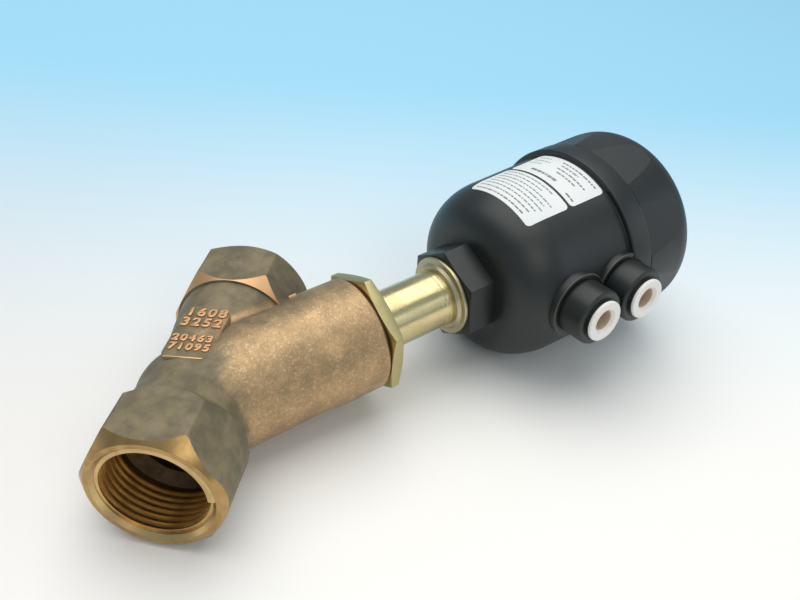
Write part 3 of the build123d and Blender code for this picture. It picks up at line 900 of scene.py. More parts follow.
# ------------------------------------------------------------------ the valve's body
@dataclass
class ValveBody:
    """Cast Y body with wrench ends, machined mouths, threads, numbered pad and scribed arrow."""

    axes: Axes
    palette: Palette
    across_flats: float = 32.0
    corners: tuple[float, ...] = (12.5, 1.1, 1.1, 7.0, 1.1, 1.1)
    hex_length: float = 14.0
    run_out: float = 3.6
    face_radius: float = 15.3
    chamfer_depth: float = 3.6
    collar_radius: float = 15.9
    barrel_end: float = 15.35
    shoulder_radius: float = 14.5
    waist_radius: float = 12.7
    thread_radius: float = 13.22
    thread_depth: float = 14.0
    pitch: float = 1.814
    ridge: float = 1.05
    mouth: float = 0.9
    flow_radius: float = 10.0
    branch_radius: float = 15.0
    band_radius: float = 15.7
    band_start: float = 31.0
    neck_top: float = 46.6
    neck_chamfer: float = 0.6
    seat_radius: float = 9.0
    partition: float = 3.0
    chamber: float = 12.2
    spigot: float = 13.0
    spigot_length: float = 11.3
    pad_size: tuple[float, float, float] = (20.5, 11.8, 14.9)
    pad_shift: float = 1.1
    voxel: float = 0.5

    def pipe_mm(self) -> Matrix:
        """The pipe's frame, from a drawing about Z to the row, still in millimetres."""
        return Matrix.Scale(1 / MM, 4) @ self.axes.pipe

    def outlet_mm(self) -> Matrix:
        """The pipe's frame turned round, with the outlet's face at height 0."""
        flip = Matrix.Translation((0, 0, -self.axes.length)) @ Matrix.Rotation(math.pi, 4, "X")
        return self.pipe_mm() @ flip

    def bonnet_mm(self) -> Matrix:
        """The bonnet's frame, still in millimetres."""
        return Matrix.Scale(1 / MM, 4) @ self.axes.bonnet

    def upper_mm(self, along: float = 0.0, across: float = 0.0, height: float = 0.0) -> Matrix:
        """Frame over the pipe: X to the inlet, Y to the bonnet's side, Z out of the upper side."""
        pipe = self.pipe_mm()
        side, up = pipe.col[0].xyz.normalized(), pipe.col[1].xyz.normalized()
        place = Matrix((Vector((1, 0, 0)), side, up)).transposed().to_4x4()
        return place @ Matrix.Translation((along, across, height))

    def pad_mm(self) -> Matrix:
        """Frame of the pad's top, with its origin in the middle."""
        return self.upper_mm(-self.axes.length / 2, -self.pad_shift, self.pad_size[2])

    def port_end(self, rear_finish: Finish) -> bpy.types.Object:
        """Wrench end with its face at height 0: cast flats between a machined mouth and a rear cone.

        Args:
            rear_finish: the finish of the rear cone.

        Returns:
            The solid end, in millimetres.
        """
        wide = self.across_flats / 2 / math.cos(math.pi / 6)
        front_slope = self.chamfer_depth / (wide - self.face_radius)
        rear_slope = self.run_out / (wide - self.collar_radius)
        out = wide + 0.3
        back = -self.hex_length
        end = back - self.run_out
        bar = prism("bar", hexagon(self.across_flats, self.corners), end, 2.0, self.palette[Finish.CAST])
        front = [
            (0, 0),
            (self.face_radius, 0, 0.12),
            (out, -front_slope * (out - self.face_radius)),
            (out, end - 1),
            (0, end - 1),
        ]
        combine(bar, lathe("front", rounded(front), self.palette[Finish.CUT], 192), Cut.KEEP)
        rear = [(0, 3), (out, 3), (out, back + 0.3 * rear_slope), (self.collar_radius, end), (0, end)]
        return combine(bar, lathe("rear", rear, self.palette[rear_finish], 192), Cut.KEEP)

    def core(self) -> bpy.types.Object:
        """Pipe barrel and branch, run together with a casting's soft fillets."""
        length = self.axes.length
        cast = self.palette[Finish.CAST]
        start = 1.5 - self.hex_length - self.run_out
        shoulder = start - 9.5
        barrel = [
            (0, start),
            (self.barrel_end, start),
            (self.barrel_end - 0.1, start - 2.4, 3.0),
            (self.shoulder_radius, shoulder, 14.0),
            (self.waist_radius, -length / 2, 22.0),
            (self.shoulder_radius, -length - shoulder, 14.0),
            (self.barrel_end - 0.1, -length - start + 2.4, 3.0),
            (self.barrel_end, -length - start),
            (0, -length - start),
        ]
        whole = placed(lathe("barrel", rounded(barrel), cast, 96), self.pipe_mm())
        top = self.neck_top
        ball = [
            (self.branch_radius * math.sin(a), -self.branch_radius * math.cos(a))
            for a in [math.pi / 2 * k / 16 for k in range(17)]
        ]
        neck = [
            (self.branch_radius, self.band_start - 1.0, 2.5),
            (self.band_radius, self.band_start + 3.0, 2.5),
            (self.band_radius, top + 1.5),
            (0, top + 1.5),
        ]
        combine(whole, placed(lathe("branch", rounded(ball + neck), cast, 96), self.bonnet_mm()), Cut.UNION)
        skin = whole.modifiers.new("skin", "REMESH")
        skin.mode = "VOXEL"
        skin.voxel_size = self.voxel
        skin.use_smooth_shade = True
        even = whole.modifiers.new("even", "SMOOTH")
        even.factor = 0.5
        even.iterations = 10
        return bake(whole)

    def pad(self) -> bpy.types.Object:
        """Raised pad with softened edges, on the pipe's upper side."""
        half_x, half_y = self.pad_size[0] / 2, self.pad_size[1] / 2
        corners = [(-half_x, -half_y, 2.5), (half_x, -half_y, 2.5), (half_x, half_y, 2.5), (-half_x, half_y, 3.5)]
        made = prism("pad", rounded(corners), -self.pad_size[2], 0, self.palette[Finish.CAST])
        return placed(soften(made, 0.45, 60.0, 3), self.pad_mm())

    def mouth_mm(self) -> bpy.types.Object:
        """Hollow of one port, with its face at height 0: mouth chamfer, thread bore and inner cone, with a dark
        finish past the thread as painted shade.
        """
        profile = [
            (0, 2),
            (self.thread_radius + self.mouth + 2.0, 2),
            (self.thread_radius + self.mouth, 0, 0.1),
            (self.thread_radius, -self.mouth),
            (self.thread_radius, -self.thread_depth),
            (self.flow_radius, -self.thread_depth - 2.5),
            (0, -self.thread_depth - 2.5),
        ]
        made = lathe("mouth", rounded(profile), self.palette[Finish.BORE], 160)
        # Past the thread the bore is painted dark, as painted shade.
        return paint(made, self.palette[Finish.SHADED_DEEP], -99.0, -self.thread_depth)

    def hollow(self) -> bpy.types.Object:
        """The inside of the body: mouths, thread bores, passages, seat and neck."""
        length = self.axes.length
        cut, shaded_deep = self.palette[Finish.CUT], self.palette[Finish.SHADED_DEEP]
        pipe, bonnet = self.pipe_mm(), self.bonnet_mm()
        whole = placed(self.mouth_mm(), pipe)
        combine(whole, placed(self.mouth_mm(), self.outlet_mm()), Cut.UNION)
        room = 90.0
        square = [(-room, -room), (room, -room), (room, room), (-room, room)]
        crossing, bore = self.axes.crossing, self.flow_radius
        ways = (
            (-crossing - 2 * bore, -self.thread_depth, -room, -self.partition),
            (self.thread_depth - length, -crossing + 2 * bore, 0.0, room),
        )
        for start, end, low, high in ways:
            # The passages take the dark finish: painted shade inside the body.
            way = lathe("way", [(0, start), (bore, start), (bore, end), (0, end)], shaded_deep, 96)
            placed(way, pipe)
            half = placed(prism("half", square, low, high, shaded_deep), bonnet)
            combine(way, half, Cut.KEEP)
            combine(whole, way, Cut.UNION)
        floor = self.neck_top - self.spigot_length - 0.7
        seat = [
            (0, -self.partition - 1),
            (self.seat_radius, -self.partition - 1),
            (self.seat_radius, 0),
            (self.chamber, 0),
            (self.chamber, floor),
            (self.spigot, floor),
            (self.spigot, self.neck_top + 2),
            (0, self.neck_top + 2),
        ]
        return combine(whole, placed(lathe("seat", seat, cut, 96), bonnet), Cut.UNION)

    def neck_face(self) -> bpy.types.Object:
        """What facing the neck takes off: all past its top, and a thin bright chamfer."""
        edge, top = self.band_radius - self.neck_chamfer, self.neck_top
        outline = [(0, top), (edge, top), (edge + 3, top - 3), (edge + 3, top + 6), (0, top + 6)]
        return placed(lathe("facing", outline, self.palette[Finish.RAW], 160), self.bonnet_mm())

    def scratches(self) -> bpy.types.Object:
        """Thin grooves of the arrow scribed on the inlet's upper flat, which points out of the port."""
        tip, tail, barb = (-4.6, 0.0), (-12.7, 0.0), 2.7
        whole: Optional[bpy.types.Object] = None
        ends = (tail, (tip[0] - barb, barb * 0.75), (tip[0] - barb, -barb * 0.75))
        for end in ends:
            line = Vector(end) - Vector(tip)
            side = Vector((-line.y, line.x)).normalized() * 0.14
            outline = [tuple(Vector(p) + side * k) for p, k in ((tip, -1), (end, -0.4), (end, 0.4), (tip, 1))]
            groove = prism("groove", outline, -0.12, 0.6, self.palette[Finish.RAW])
            placed(groove, self.upper_mm(0, 0, self.across_flats / 2))
            whole = groove if whole is None else combine(whole, groove, Cut.UNION)
        return whole

    def marks(self) -> bpy.types.Object:
        """Low cast ring on the outlet's upper flat."""
        ring = [(2.3, -0.5), (2.9, -0.5), (2.9, 0.05, 0.12), (2.6, 0.16, 0.2), (2.3, 0.05, 0.12)]
        made = lathe("ring", rounded(ring), self.palette[Finish.CAST], 48)
        return placed(made, self.upper_mm(-68.0, -0.7, self.across_flats / 2))

    def numerals(self, text: str, height: float, place: Matrix) -> bpy.types.Object:
        """Raised plain numerals with softly bevelled, weathered edges.

        Args:
            text: the digits.
            height: height of a digit, in millimetres.
            place: frame of the surface, with the text's right along X.

        Returns:
            The closed figures, in millimetres.
        """
        curve = bpy.data.curves.new("numerals", "FONT")
        curve.body = text
        curve.size = height / 0.70
        curve.extrude = 0.24
        curve.bevel_depth = 0.13
        curve.bevel_resolution = 2
        curve.offset = 0.06
        curve.space_character = 1.22
        curve.align_x = "CENTER"
        curve.align_y = "CENTER"
        sign = bpy.data.objects.new("numerals", curve)
        bpy.context.scene.collection.objects.link(sign)
        made = link("numerals", evaluated(sign))
        bpy.data.objects.remove(sign)
        made.data.materials.clear()
        made.data.materials.append(self.palette[Finish.RAW])
        return placed(made, place)

    def figures(self) -> bpy.types.Object:
        """Four rows of numerals on the pad, a bead at its near edge and one numeral on the neck."""
        across = Matrix.Rotation(math.pi / 2, 4, "Z")
        rows = (
            ("1608", 3.1, -7.3, 0.1),
            ("3252", 3.1, -3.3, 0.0),
            ("20463", 2.4, 2.9, -0.1),
            ("71095", 2.4, 6.2, 0.2),
        )
        half = self.pad_size[0] / 2
        outline = [(half - 0.75, -4.9), (half - 0.25, -4.9), (half - 0.25, 4.6), (half - 0.75, 4.6)]
        bead = prism("bead", outline, -0.3, 0.16, self.palette[Finish.RAW])
        whole = placed(soften(bead, 0.12, 40.0), self.pad_mm())
        for text, height, along, side in rows:
            place = self.pad_mm() @ Matrix.Translation((along, side, 0.05)) @ across
            merge(whole, self.numerals(text, height, place))
        around = Matrix.Rotation(math.radians(-128), 4, "Z") @ Matrix.Translation((self.band_radius - 0.05, 0, 33.0))
        lying = Matrix(((0, 0, 1, 0), (0, 1, 0, 0), (-1, 0, 0, 0), (0, 0, 0, 1)))
        merge(whole, self.numerals("7", 2.6, self.bonnet_mm() @ around @ lying))
        return whole

    def make(self) -> None:
        """Build the body, its threads and its figures, and dress and place them."""
        pipe, outlet = self.pipe_mm(), self.outlet_mm()
        body = self.core()
        combine(body, self.pad(), Cut.UNION)
        combine(body, self.neck_face(), Cut.TAKE)
        combine(body, placed(self.port_end(Finish.CAST), pipe), Cut.UNION)
        combine(body, placed(self.port_end(Finish.RAW), outlet), Cut.UNION)
        combine(body, self.hollow(), Cut.TAKE)
        combine(body, self.scratches(), Cut.TAKE)
        combine(body, self.marks(), Cut.UNION)
        placed(body, Matrix.Scale(MM, 4))
        shade(body, 28.0)
        finish_piece(body, "valve_casting", "valve", "cast_bronze", "valve_body")
        turns = (self.thread_depth - self.mouth - 0.4) / self.pitch
        for name, place in (("inlet_thread", pipe), ("outlet_thread", outlet)):
            ridge = thread_ridge(name, self.thread_radius, self.pitch, turns, self.ridge, self.palette[Finish.BORE])
            placed(ridge, Matrix.Scale(MM, 4) @ place @ Matrix.Translation((0, 0, -self.mouth - 0.3)))
            shade(ridge, 25.0)
            finish_piece(ridge, name, "valve", "cast_bronze")
        sign = placed(self.figures(), Matrix.Scale(MM, 4))
        shade(sign, 40.0)
        finish_piece(sign, "pad_figures", "valve", "cast_bronze")


def finish_piece(
    thing: bpy.types.Object, name: str, body: str, slot: str, *nodes: str
) -> bpy.types.Object:
    """Name a piece, ride it on its body and hide the CAD nodes that it replaces.

    Args:
        thing: the piece, in its place.
        name: its name.
        body: the body that it moves with.
        slot: a material slot of the record; not used.
        nodes: CAD nodes that it replaces.

    Returns:
        The piece.
    """
    thing.name = name
    thing.data.name = name
    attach(thing, body)
    if nodes:
        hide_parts(*nodes)
    LOG.info("%s: %d faces on %s", name, len(thing.data.polygons), body)
    return thing


# ------------------------------------------------------------------ nipple and collar
@dataclass
class Nipple:
    """Brass nipple with its wrench hexagon and guide tube, and the collar on it."""

    axes: Axes
    palette: Palette
    across_flats: float = 30.0
    hex_bottom: float = 47.2
    hex_top: float = 50.7
    hex_bevel: float = 0.7
    turn: float = 38.5
    tube_radius: float = 8.2
    tube_top: float = 89.6
    spigot: float = 12.96
    spigot_bottom: float = 35.3
    bore: float = 6.6
    collar_radius: float = 11.4
    collar_bottom: float = 74.65
    collar_thickness: float = 1.2

    def nipple(self) -> bpy.types.Object:
        """Spigot, hexagon and tube in one turned and milled piece."""
        brass, bright = self.palette[Finish.BRASS], self.palette[Finish.TUBE]
        face = self.across_flats / 2 - 0.2
        wide = self.across_flats / 2 / math.cos(math.pi / 6) + 0.1
        low, high, bevel = self.hex_bottom, self.hex_top, self.hex_bevel
        bar = prism("bar", hexagon(self.across_flats, 0.25, self.turn), low, high, brass)
        keep = [(0, low), (face, low), (wide, low + bevel), (wide, high - bevel), (face, high), (0, high)]
        combine(bar, lathe("keep", keep, brass, 160), Cut.KEEP)
        soften(bar, 0.12, 25.0)
        shaft = lathe(
            "shaft",
            rounded(
                [
                    (self.bore, self.spigot_bottom),
                    (self.spigot, self.spigot_bottom, 0.4),
                    (self.spigot, self.hex_bottom + 0.8),
                    (self.tube_radius + 2.2, self.hex_bottom + 1.0),
                    (self.tube_radius + 2.2, self.hex_top + 0.02, 0.1),
                    (self.tube_radius, self.hex_top + 0.9, 0.8),
                    *self.scored_rings(),
                    (self.tube_radius, self.tube_top - 3.6),
                    (self.tube_radius, self.tube_top, 0.3),
                    (self.bore - 0.6, self.tube_top),
                    (self.bore - 0.6, self.tube_top - 9.0),
                    (self.bore, self.tube_top - 9.0),
                ]
            ),
            bright,
            160,
        )
        return combine(bar, shaft, Cut.UNION)

    def scored_rings(self) -> list[Point]:
        """Two fine rings turned in the tube just under the collar."""
        points = []
        for height in (self.collar_bottom - 3.4, self.collar_bottom - 2.2):
            for shift, depth in ((-0.16, 0.0), (-0.06, 0.12), (0.06, 0.12), (0.16, 0.0)):
                points.append((self.tube_radius - depth, height + shift))
        return points

    def make(self) -> None:
        """Build and place the nipple and the collar."""
        made = placed(self.nipple(), self.axes.bonnet)
        finish_piece(shade(made), "brass_nipple", "valve", "machined_brass", "guide_nipple")
        low = self.collar_bottom
        inner = self.tube_radius + 0.03
        collar = lathe(
            "collar",
            rounded(
                [
                    (inner, low - 1.0),
                    (inner + 1.0, low - 1.0, 0.25),
                    (inner + 1.6, low, 0.3),
                    (self.collar_radius, low, 0.3),
                    (self.collar_radius, low + self.collar_thickness, 0.25),
                    (inner, low + self.collar_thickness),
                ],
                4,
            ),
            self.palette[Finish.PLATED],
            144,
        )
        placed(collar, self.axes.bonnet)
        finish_piece(shade(collar), "plated_collar", "valve", "stainless_steel", "seating_collar")


# ------------------------------------------------------------------ actuator
@dataclass
class Connector:
    """Push-in air connector: black head, white release collet and its beige liner."""

    name: str
    height: float
    palette: Palette
    radius: float = 8.2
    base: float = 27.4
    reach: float = 35.2
    shank: float = 7.3
    shank_bottom: float = 23.6
    socket: float = 6.2
    bore: float = 3.1
    flange: float = 6.0
    flange_bottom: float = 36.0
    flange_top: float = 37.0

    def make(self, place: Matrix) -> None:
        """Build the connector's visible pieces.

        Args:
            place: the bonnet's frame.
        """
        frame_here = turned_frame(place, self.height)
        head = lathe(
            "head",
            rounded(
                [
                    (1.4, self.shank_bottom),
                    (self.shank, self.shank_bottom, 0.4),
                    (self.shank, self.base + 0.05),
                    (self.radius, self.base + 0.05, 0.3),
                    (self.radius, self.reach, 0.9),
                    (self.socket, self.reach, 0.2),
                    (self.socket, self.shank_bottom + 4.4),
                    (self.bore, self.shank_bottom + 4.4),
                    (self.bore, self.shank_bottom + 1.6),
                    (1.4, self.shank_bottom + 1.6),
                ]
            ),
            self.palette[Finish.BLACK],
            96,
        )
        placed(head, frame_here)
        finish_piece(
            shade(head), f"{self.name}_head", "actuator", "black_polyamide", f"{self.name}_connector_body"
        )
        back = self.shank_bottom + 7.6
        collet = lathe(
            "collet",
            rounded(
                [
                    (self.bore, back),
                    (self.bore + 1.65, back, 0.2),
                    (self.bore + 1.65, back + 1.0, 0.2),
                    (self.bore + 1.15, back + 1.6),
                    (self.bore + 1.15, self.flange_bottom),
                    (self.flange, self.flange_bottom, 0.25),
                    (self.flange, self.flange_top, 0.35),
                    (self.bore + 0.7, self.flange_top, 0.3),
                    (self.bore, self.flange_top - 0.9, 0.3),
                ]
            ),
            self.palette[Finish.WHITE],
            96,
        )
        placed(collet, frame_here)
        finish_piece(shade(collet), f"{self.name}_ring", f"{self.name}_collet", "white_collet", f"{self.name}_collet")
        liner = lathe(
            "liner",
            [
                (self.bore - 0.12, back + 0.2),
                (self.bore - 0.02, back + 0.2),
                (self.bore - 0.02, self.flange_top - 0.95),
                (self.bore - 0.12, self.flange_top - 0.95),
            ],
            self.palette[Finish.BEIGE],
            64,
        )
        placed(liner, frame_here)
        finish_piece(shade(liner), f"{self.name}_liner", f"{self.name}_collet", "white_collet")


@dataclass(frozen=True)
class Shell:
    """The housing's outer wall: a dome that runs into a wall flaring to the rim."""

    foot: float = 84.5
    foot_radius: float = 15.2
    dome_length: float = 15.5
    radius: float = 26.5
    flare: float = 0.7
    rim_start: float = 123.3

    def radius_at(self, height: float) -> float:
        """Radius of the wall at a height above the seat."""
        shoulder = self.foot + self.dome_length
        if height < shoulder:
            rise = (shoulder - height) / self.dome_length
            return self.foot_radius + (self.radius - self.foot_radius) * math.sqrt(max(0.0, 1 - rise * rise))
        return self.radius + self.flare * (height - shoulder) / (self.rim_start - shoulder)

    def outline(self, steps: int = 28) -> list[Point]:
        """The dome's arc from its foot to its shoulder."""
        shoulder = self.foot + self.dome_length
        angles = [math.pi / 2 * k / steps for k in range(steps + 1)]
        across = self.radius - self.foot_radius
        return [
            (self.foot_radius + across * math.sin(a), shoulder - self.dome_length * math.cos(a)) for a in angles
        ]


@dataclass(frozen=True)
class Row:
    """One row of dashes on a label, in shares of the label's height and width."""

    height: float
    start: float
    end: float
    tall: float = 0.3


@dataclass
class Label:
    """Paper label wrapped on the housing, with rows of plain grey dashes for print."""

    name: str
    low: float
    high: float
    start: float
    end: float
    rows: Sequence[Row]
    seed: int
    shell: Shell = Shell()
    corner: float = 1.3

    def width(self) -> float:
        """Length of the label round the housing."""
        return math.radians(self.end - self.start) * self.shell.radius

    def wrap(self, arc: float, height: float, lift: float) -> tuple[float, float, float]:
        """Point of the housing's surface, lifted off it."""
        angle = math.radians(self.start) + arc / self.shell.radius
        r = self.shell.radius_at(height) + lift
        return (r * math.cos(angle), r * math.sin(angle), height)

    def sheet(
        self, outline: Sequence[Point], lift: float, thick: float, finish: bpy.types.Material
    ) -> bpy.types.Object:
        """Thin sheet of that outline, bent to the housing.

        Args:
            outline: (arc length, height) points of a convex outline.
            lift: gap under the sheet.
            thick: its thickness.
            finish: its material.

        Returns:
            The closed sheet.
        """
        shape = bmesh.new()
        shape.faces.new([shape.verts.new((x, y, 0)) for x, y in outline])
        for axis, step in ((0, 0.8), (1, 1.6)):
            least = min(point[axis] for point in outline)
            span = max(point[axis] for point in outline) - least
            for k in range(1, int(span / step) + 1):
                at, normal = [0.0, 0.0, 0.0], [0.0, 0.0, 0.0]
                at[axis], normal[axis] = least + k * step, 1.0
                parts = list(shape.verts) + list(shape.edges) + list(shape.faces)
                bmesh.ops.bisect_plane(shape, geom=parts, plane_co=at, plane_no=normal)
        raised = bmesh.ops.extrude_face_region(shape, geom=list(shape.faces))
        for item in raised["geom"]:
            if isinstance(item, bmesh.types.BMVert):
                item.co.z = thick
        for vert in shape.verts:
            vert.co = self.wrap(vert.co.x, vert.co.y, lift + vert.co.z)
        bmesh.ops.recalc_face_normals(shape, faces=shape.faces)
        mesh = bpy.data.meshes.new(self.name)
        shape.to_mesh(mesh)
        shape.free()
        mesh.materials.append(finish)
        return link(self.name, mesh)

    def dashes(self, finish: bpy.types.Material) -> bpy.types.Object:
        """Rows of short dashes in place of print, all on one mesh."""
        draw = random.Random(self.seed)
        whole: Optional[bpy.types.Object] = None
        for row in self.rows:
            middle = self.low + row.height * (self.high - self.low)
            x, limit = row.start * self.width(), row.end * self.width()
            while x < limit - 0.3:
                end = min(x + draw.uniform(0.5, 1.9) * (0.6 + row.tall), limit)
                low = middle - row.tall * draw.uniform(0.8, 1.0)
                high = middle + row.tall * draw.uniform(0.8, 1.0)
                dash = self.sheet([(x, low), (end, low), (end, high), (x, high)], 0.085, 0.012, finish)
                whole = dash if whole is None else merge(whole, dash)
                x = end + draw.uniform(0.22, 0.42)
        return whole

    def make(self, axes: Axes, palette: Palette) -> None:
        """Build and place the label and its print."""
        corners = [(0, self.low), (self.width(), self.low), (self.width(), self.high), (0, self.high)]
        outline = rounded([(x, y, self.corner) for x, y in corners], 6)
        paper = self.sheet(outline, 0.015, 0.07, palette[Finish.PAPER])
        placed(paper, axes.bonnet)
        finish_piece(shade(paper, 40.0), self.name, "actuator", "black_polyamide")
        ink = self.dashes(palette[Finish.PRINT])
        placed(ink, axes.bonnet)
        finish_piece(shade(ink, 40.0), f"{self.name}_print", "actuator", "black_polyamide")


def even_rows(count: int, seed: int) -> list[Row]:
    """Rows from edge to edge of a label, with ragged ends."""
    draw = random.Random(seed)
    return [Row(0.09 + 0.82 * k / (count - 1), 0.06, draw.uniform(0.66, 0.93), 0.27) for k in range(count)]


TYPE_ROWS = (
    Row(0.20, 0.24, 0.62, 0.60),
    Row(0.13, 0.82, 0.95, 0.34),
    Row(0.52, 0.05, 0.26, 0.22),
    Row(0.68, 0.05, 0.30, 0.22),
    Row(0.84, 0.05, 0.24, 0.22),
    Row(0.46, 0.50, 0.80, 0.34),
    Row(0.60, 0.44, 0.88, 0.34),
    Row(0.74, 0.44, 0.70, 0.34),
    Row(0.87, 0.40, 0.93, 0.34),
)


def merge(first: bpy.types.Object, second: bpy.types.Object) -> bpy.types.Object:
    """Put the second object's mesh into the first's and delete the second."""
    shape = bmesh.new()
    shape.from_mesh(first.data)
    shape.from_mesh(second.data)
    shape.to_mesh(first.data)
    shape.free()
    drop(second)
    return first


@dataclass
class Actuator:
    """Black piston actuator: housing, screw cap, window, labels and air connectors."""

    axes: Axes
    palette: Palette
    shell: Shell = Shell()
    base: float = 75.9
    collar_bore: float = 8.3
    root_radius: float = 11.4
    room_height: float = 17.5
    floor_height: float = 11.3
    floor_inset: float = 6.0
    socket_radius: float = 7.34
    socket_floor: float = 23.5
    stem_bore: float = 2.9
    across_flats: float = 24.0
    hex_bevel: float = 0.4
    bore: float = 20.0
    rim_radius: float = 28.9
    rim_top: float = 130.5
    neck_radius: float = 24.4
    neck_top: float = 139.0
    boss_radius: float = 9.7
    boss_reach: float = 27.4
    spot_radius: float = 8.5
    air_ports: tuple[float, float] = (102.6, 119.8)
    cap_top: float = 153.0
    cap_wall: float = 5.9
    cap_edge: float = 9.5
    grips: int = 8
    grip_depth: float = 1.15
    grip_run_out: float = 18.0
    cap_turn: float = -27.0

    def dome(self) -> bpy.types.Object:
        """The turned part of the housing, hollow from the cap's end."""
        shell = self.shell
        root = self.root_radius
        outline = [(self.collar_bore, self.base), (root, self.base), (root, shell.foot)] + shell.outline()
        outline += [
            (shell.radius + shell.flare, shell.rim_start, 0.3),
            (self.rim_radius, shell.rim_start, 0.6),
            (self.rim_radius, self.rim_top, 0.25),
            (self.neck_radius, self.rim_top, 0.2),
            (self.neck_radius, self.neck_top, 0.4),
            (self.bore, self.neck_top),
            (self.bore, self.base + self.room_height),
            (self.bore - self.floor_inset, self.base + self.floor_height),
            (self.collar_bore, self.base + self.floor_height),
        ]
        made = lathe("dome", rounded(outline), self.palette[Finish.BLACK], 192)
        # The rim's top rounding takes the pale edge finish: a painted highlight on the step.
        return paint(made, self.palette[Finish.EDGE_HIGHLIGHT], self.rim_top - 0.3, self.rim_top + 0.05)

    def wrench(self) -> bpy.types.Object:
        """The housing's own hexagon, with its bevelled edges given a pale finish as a painted highlight."""
        black, edge_highlight = self.palette[Finish.BLACK], self.palette[Finish.EDGE_HIGHLIGHT]
        low, top = self.base, self.shell.foot + 1.5
        face = self.across_flats / 2 - 0.2
        wide = self.across_flats / 2 / math.cos(math.pi / 6) + 0.1
        bar = prism("bar", hexagon(self.across_flats, 0.4, 30.0), low, top, black)
        inner, bevel = self.collar_bore, self.hex_bevel
        keep = [(inner, low), (face, low), (wide, low + bevel), (wide, top - 1.3), (face, top), (inner, top)]
        combine(bar, lathe("keep", keep, black, 144), Cut.KEEP)
        # The bevels take the pale edge finish: painted highlight.
        return soften(bar, 0.2, 25.0, 2, edge_highlight)

    def housing(self) -> bpy.types.Object:
        """Dome, hexagon and bosses in one moulding."""
        black, edge_highlight = self.palette[Finish.BLACK], self.palette[Finish.EDGE_HIGHLIGHT]
        made = combine(self.dome(), self.wrench(), Cut.UNION)
        for height in self.air_ports:
            outline = [(0, 20), (self.boss_radius, 20), (self.boss_radius, self.boss_reach), (0, self.boss_reach)]
            # The boss edges take the pale edge finish: painted highlight.
            boss = soften(lathe("boss", outline, black, 96), 0.3, 60.0, 2, edge_highlight)
            placed(boss, turned_frame(Matrix.Identity(4), height))
            combine(made, boss, Cut.UNION)
        for height in self.air_ports:
            face, past = self.boss_reach, self.boss_reach + 8.6
            floor, wall, spot = self.socket_floor, self.socket_radius, self.spot_radius
            outline = [(0, floor), (wall, floor), (wall, face), (spot, face), (spot, past), (0, past)]
            socket = lathe("socket", outline, black, 96)
            placed(socket, turned_frame(Matrix.Identity(4), height))
            combine(made, socket, Cut.TAKE)
        return made

    def cap(self) -> bpy.types.Object:
        """Screw cap with a ring of grip flats that run out towards its rounded end."""
        black = self.palette[Finish.BLACK]
        mouth = self.rim_top + 0.12
        outline = rounded(
            [
                (self.stem_bore, self.cap_top, 0.2),
                (self.stem_bore, self.cap_top - self.cap_wall),
                (self.bore, self.cap_top - self.cap_wall),
                (self.bore, self.neck_top + 1.6),
                (self.neck_radius + 0.05, self.neck_top + 1.6),
                (self.neck_radius + 0.05, mouth),
                (self.rim_radius, mouth, 0.25),
                (self.rim_radius, self.cap_top, self.cap_edge),
            ],
            16,
        )
        made = lathe("cap", outline, black, 192)
        size = (10.0, 17.0, self.cap_top - mouth + 8.0)
        lean = math.degrees(math.atan(self.grip_depth / self.grip_run_out))
        radius = self.rim_radius - self.grip_depth
        cutters = ring_of_cutters("grips", self.grips, radius, size, lean, self.cap_turn, black)
        placed(cutters, Matrix.Translation((0, 0, mouth)))
        return combine(made, cutters, Cut.TAKE)

    def window(self) -> bpy.types.Object:
        """Clear dome over the pointer."""
        low = self.cap_top + 0.04
        outline = rounded(
            [
                (self.stem_bore, low),
                (6.5, low, 0.2),
                (6.5, low + 1.2, 0.4),
                (4.5, low + 1.6, 0.4),
                (4.1, low + 8.8, 0.5),
                (3.1, low + 10.0, 0.8),
                (0, low + 10.0),
                (0, low + 8.8),
                (self.stem_bore, low + 8.8, 0.4),
            ]
        )
        return lathe("window", outline, self.palette[Finish.CLEAR], 64)

    def make(self) -> None:
        """Build, dress and place every visible piece of the actuator."""
        place = self.axes.bonnet
        housing = placed(self.housing(), place)
        finish_piece(shade(housing), "housing_moulding", "actuator", "black_polyamide", "actuator_housing")
        cap = placed(self.cap(), place)
        finish_piece(shade(cap, 7.5), "cap_moulding", "actuator", "black_polyamide", "actuator_cap")
        window = placed(self.window(), place)
        finish_piece(shade(window), "clear_dome", "actuator", "clear_window", "indicator_window")
        for name, height in zip(("lower", "upper"), self.air_ports):
            Connector(name, height, self.palette).make(place)
        Label("rating_label", 93.8, 108.8, -113.0, -58.0, even_rows(8, 5), 11).make(self.axes, self.palette)
        Label("type_label", 109.7, 122.6, -113.0, -58.0, TYPE_ROWS, 23).make(self.axes, self.palette)


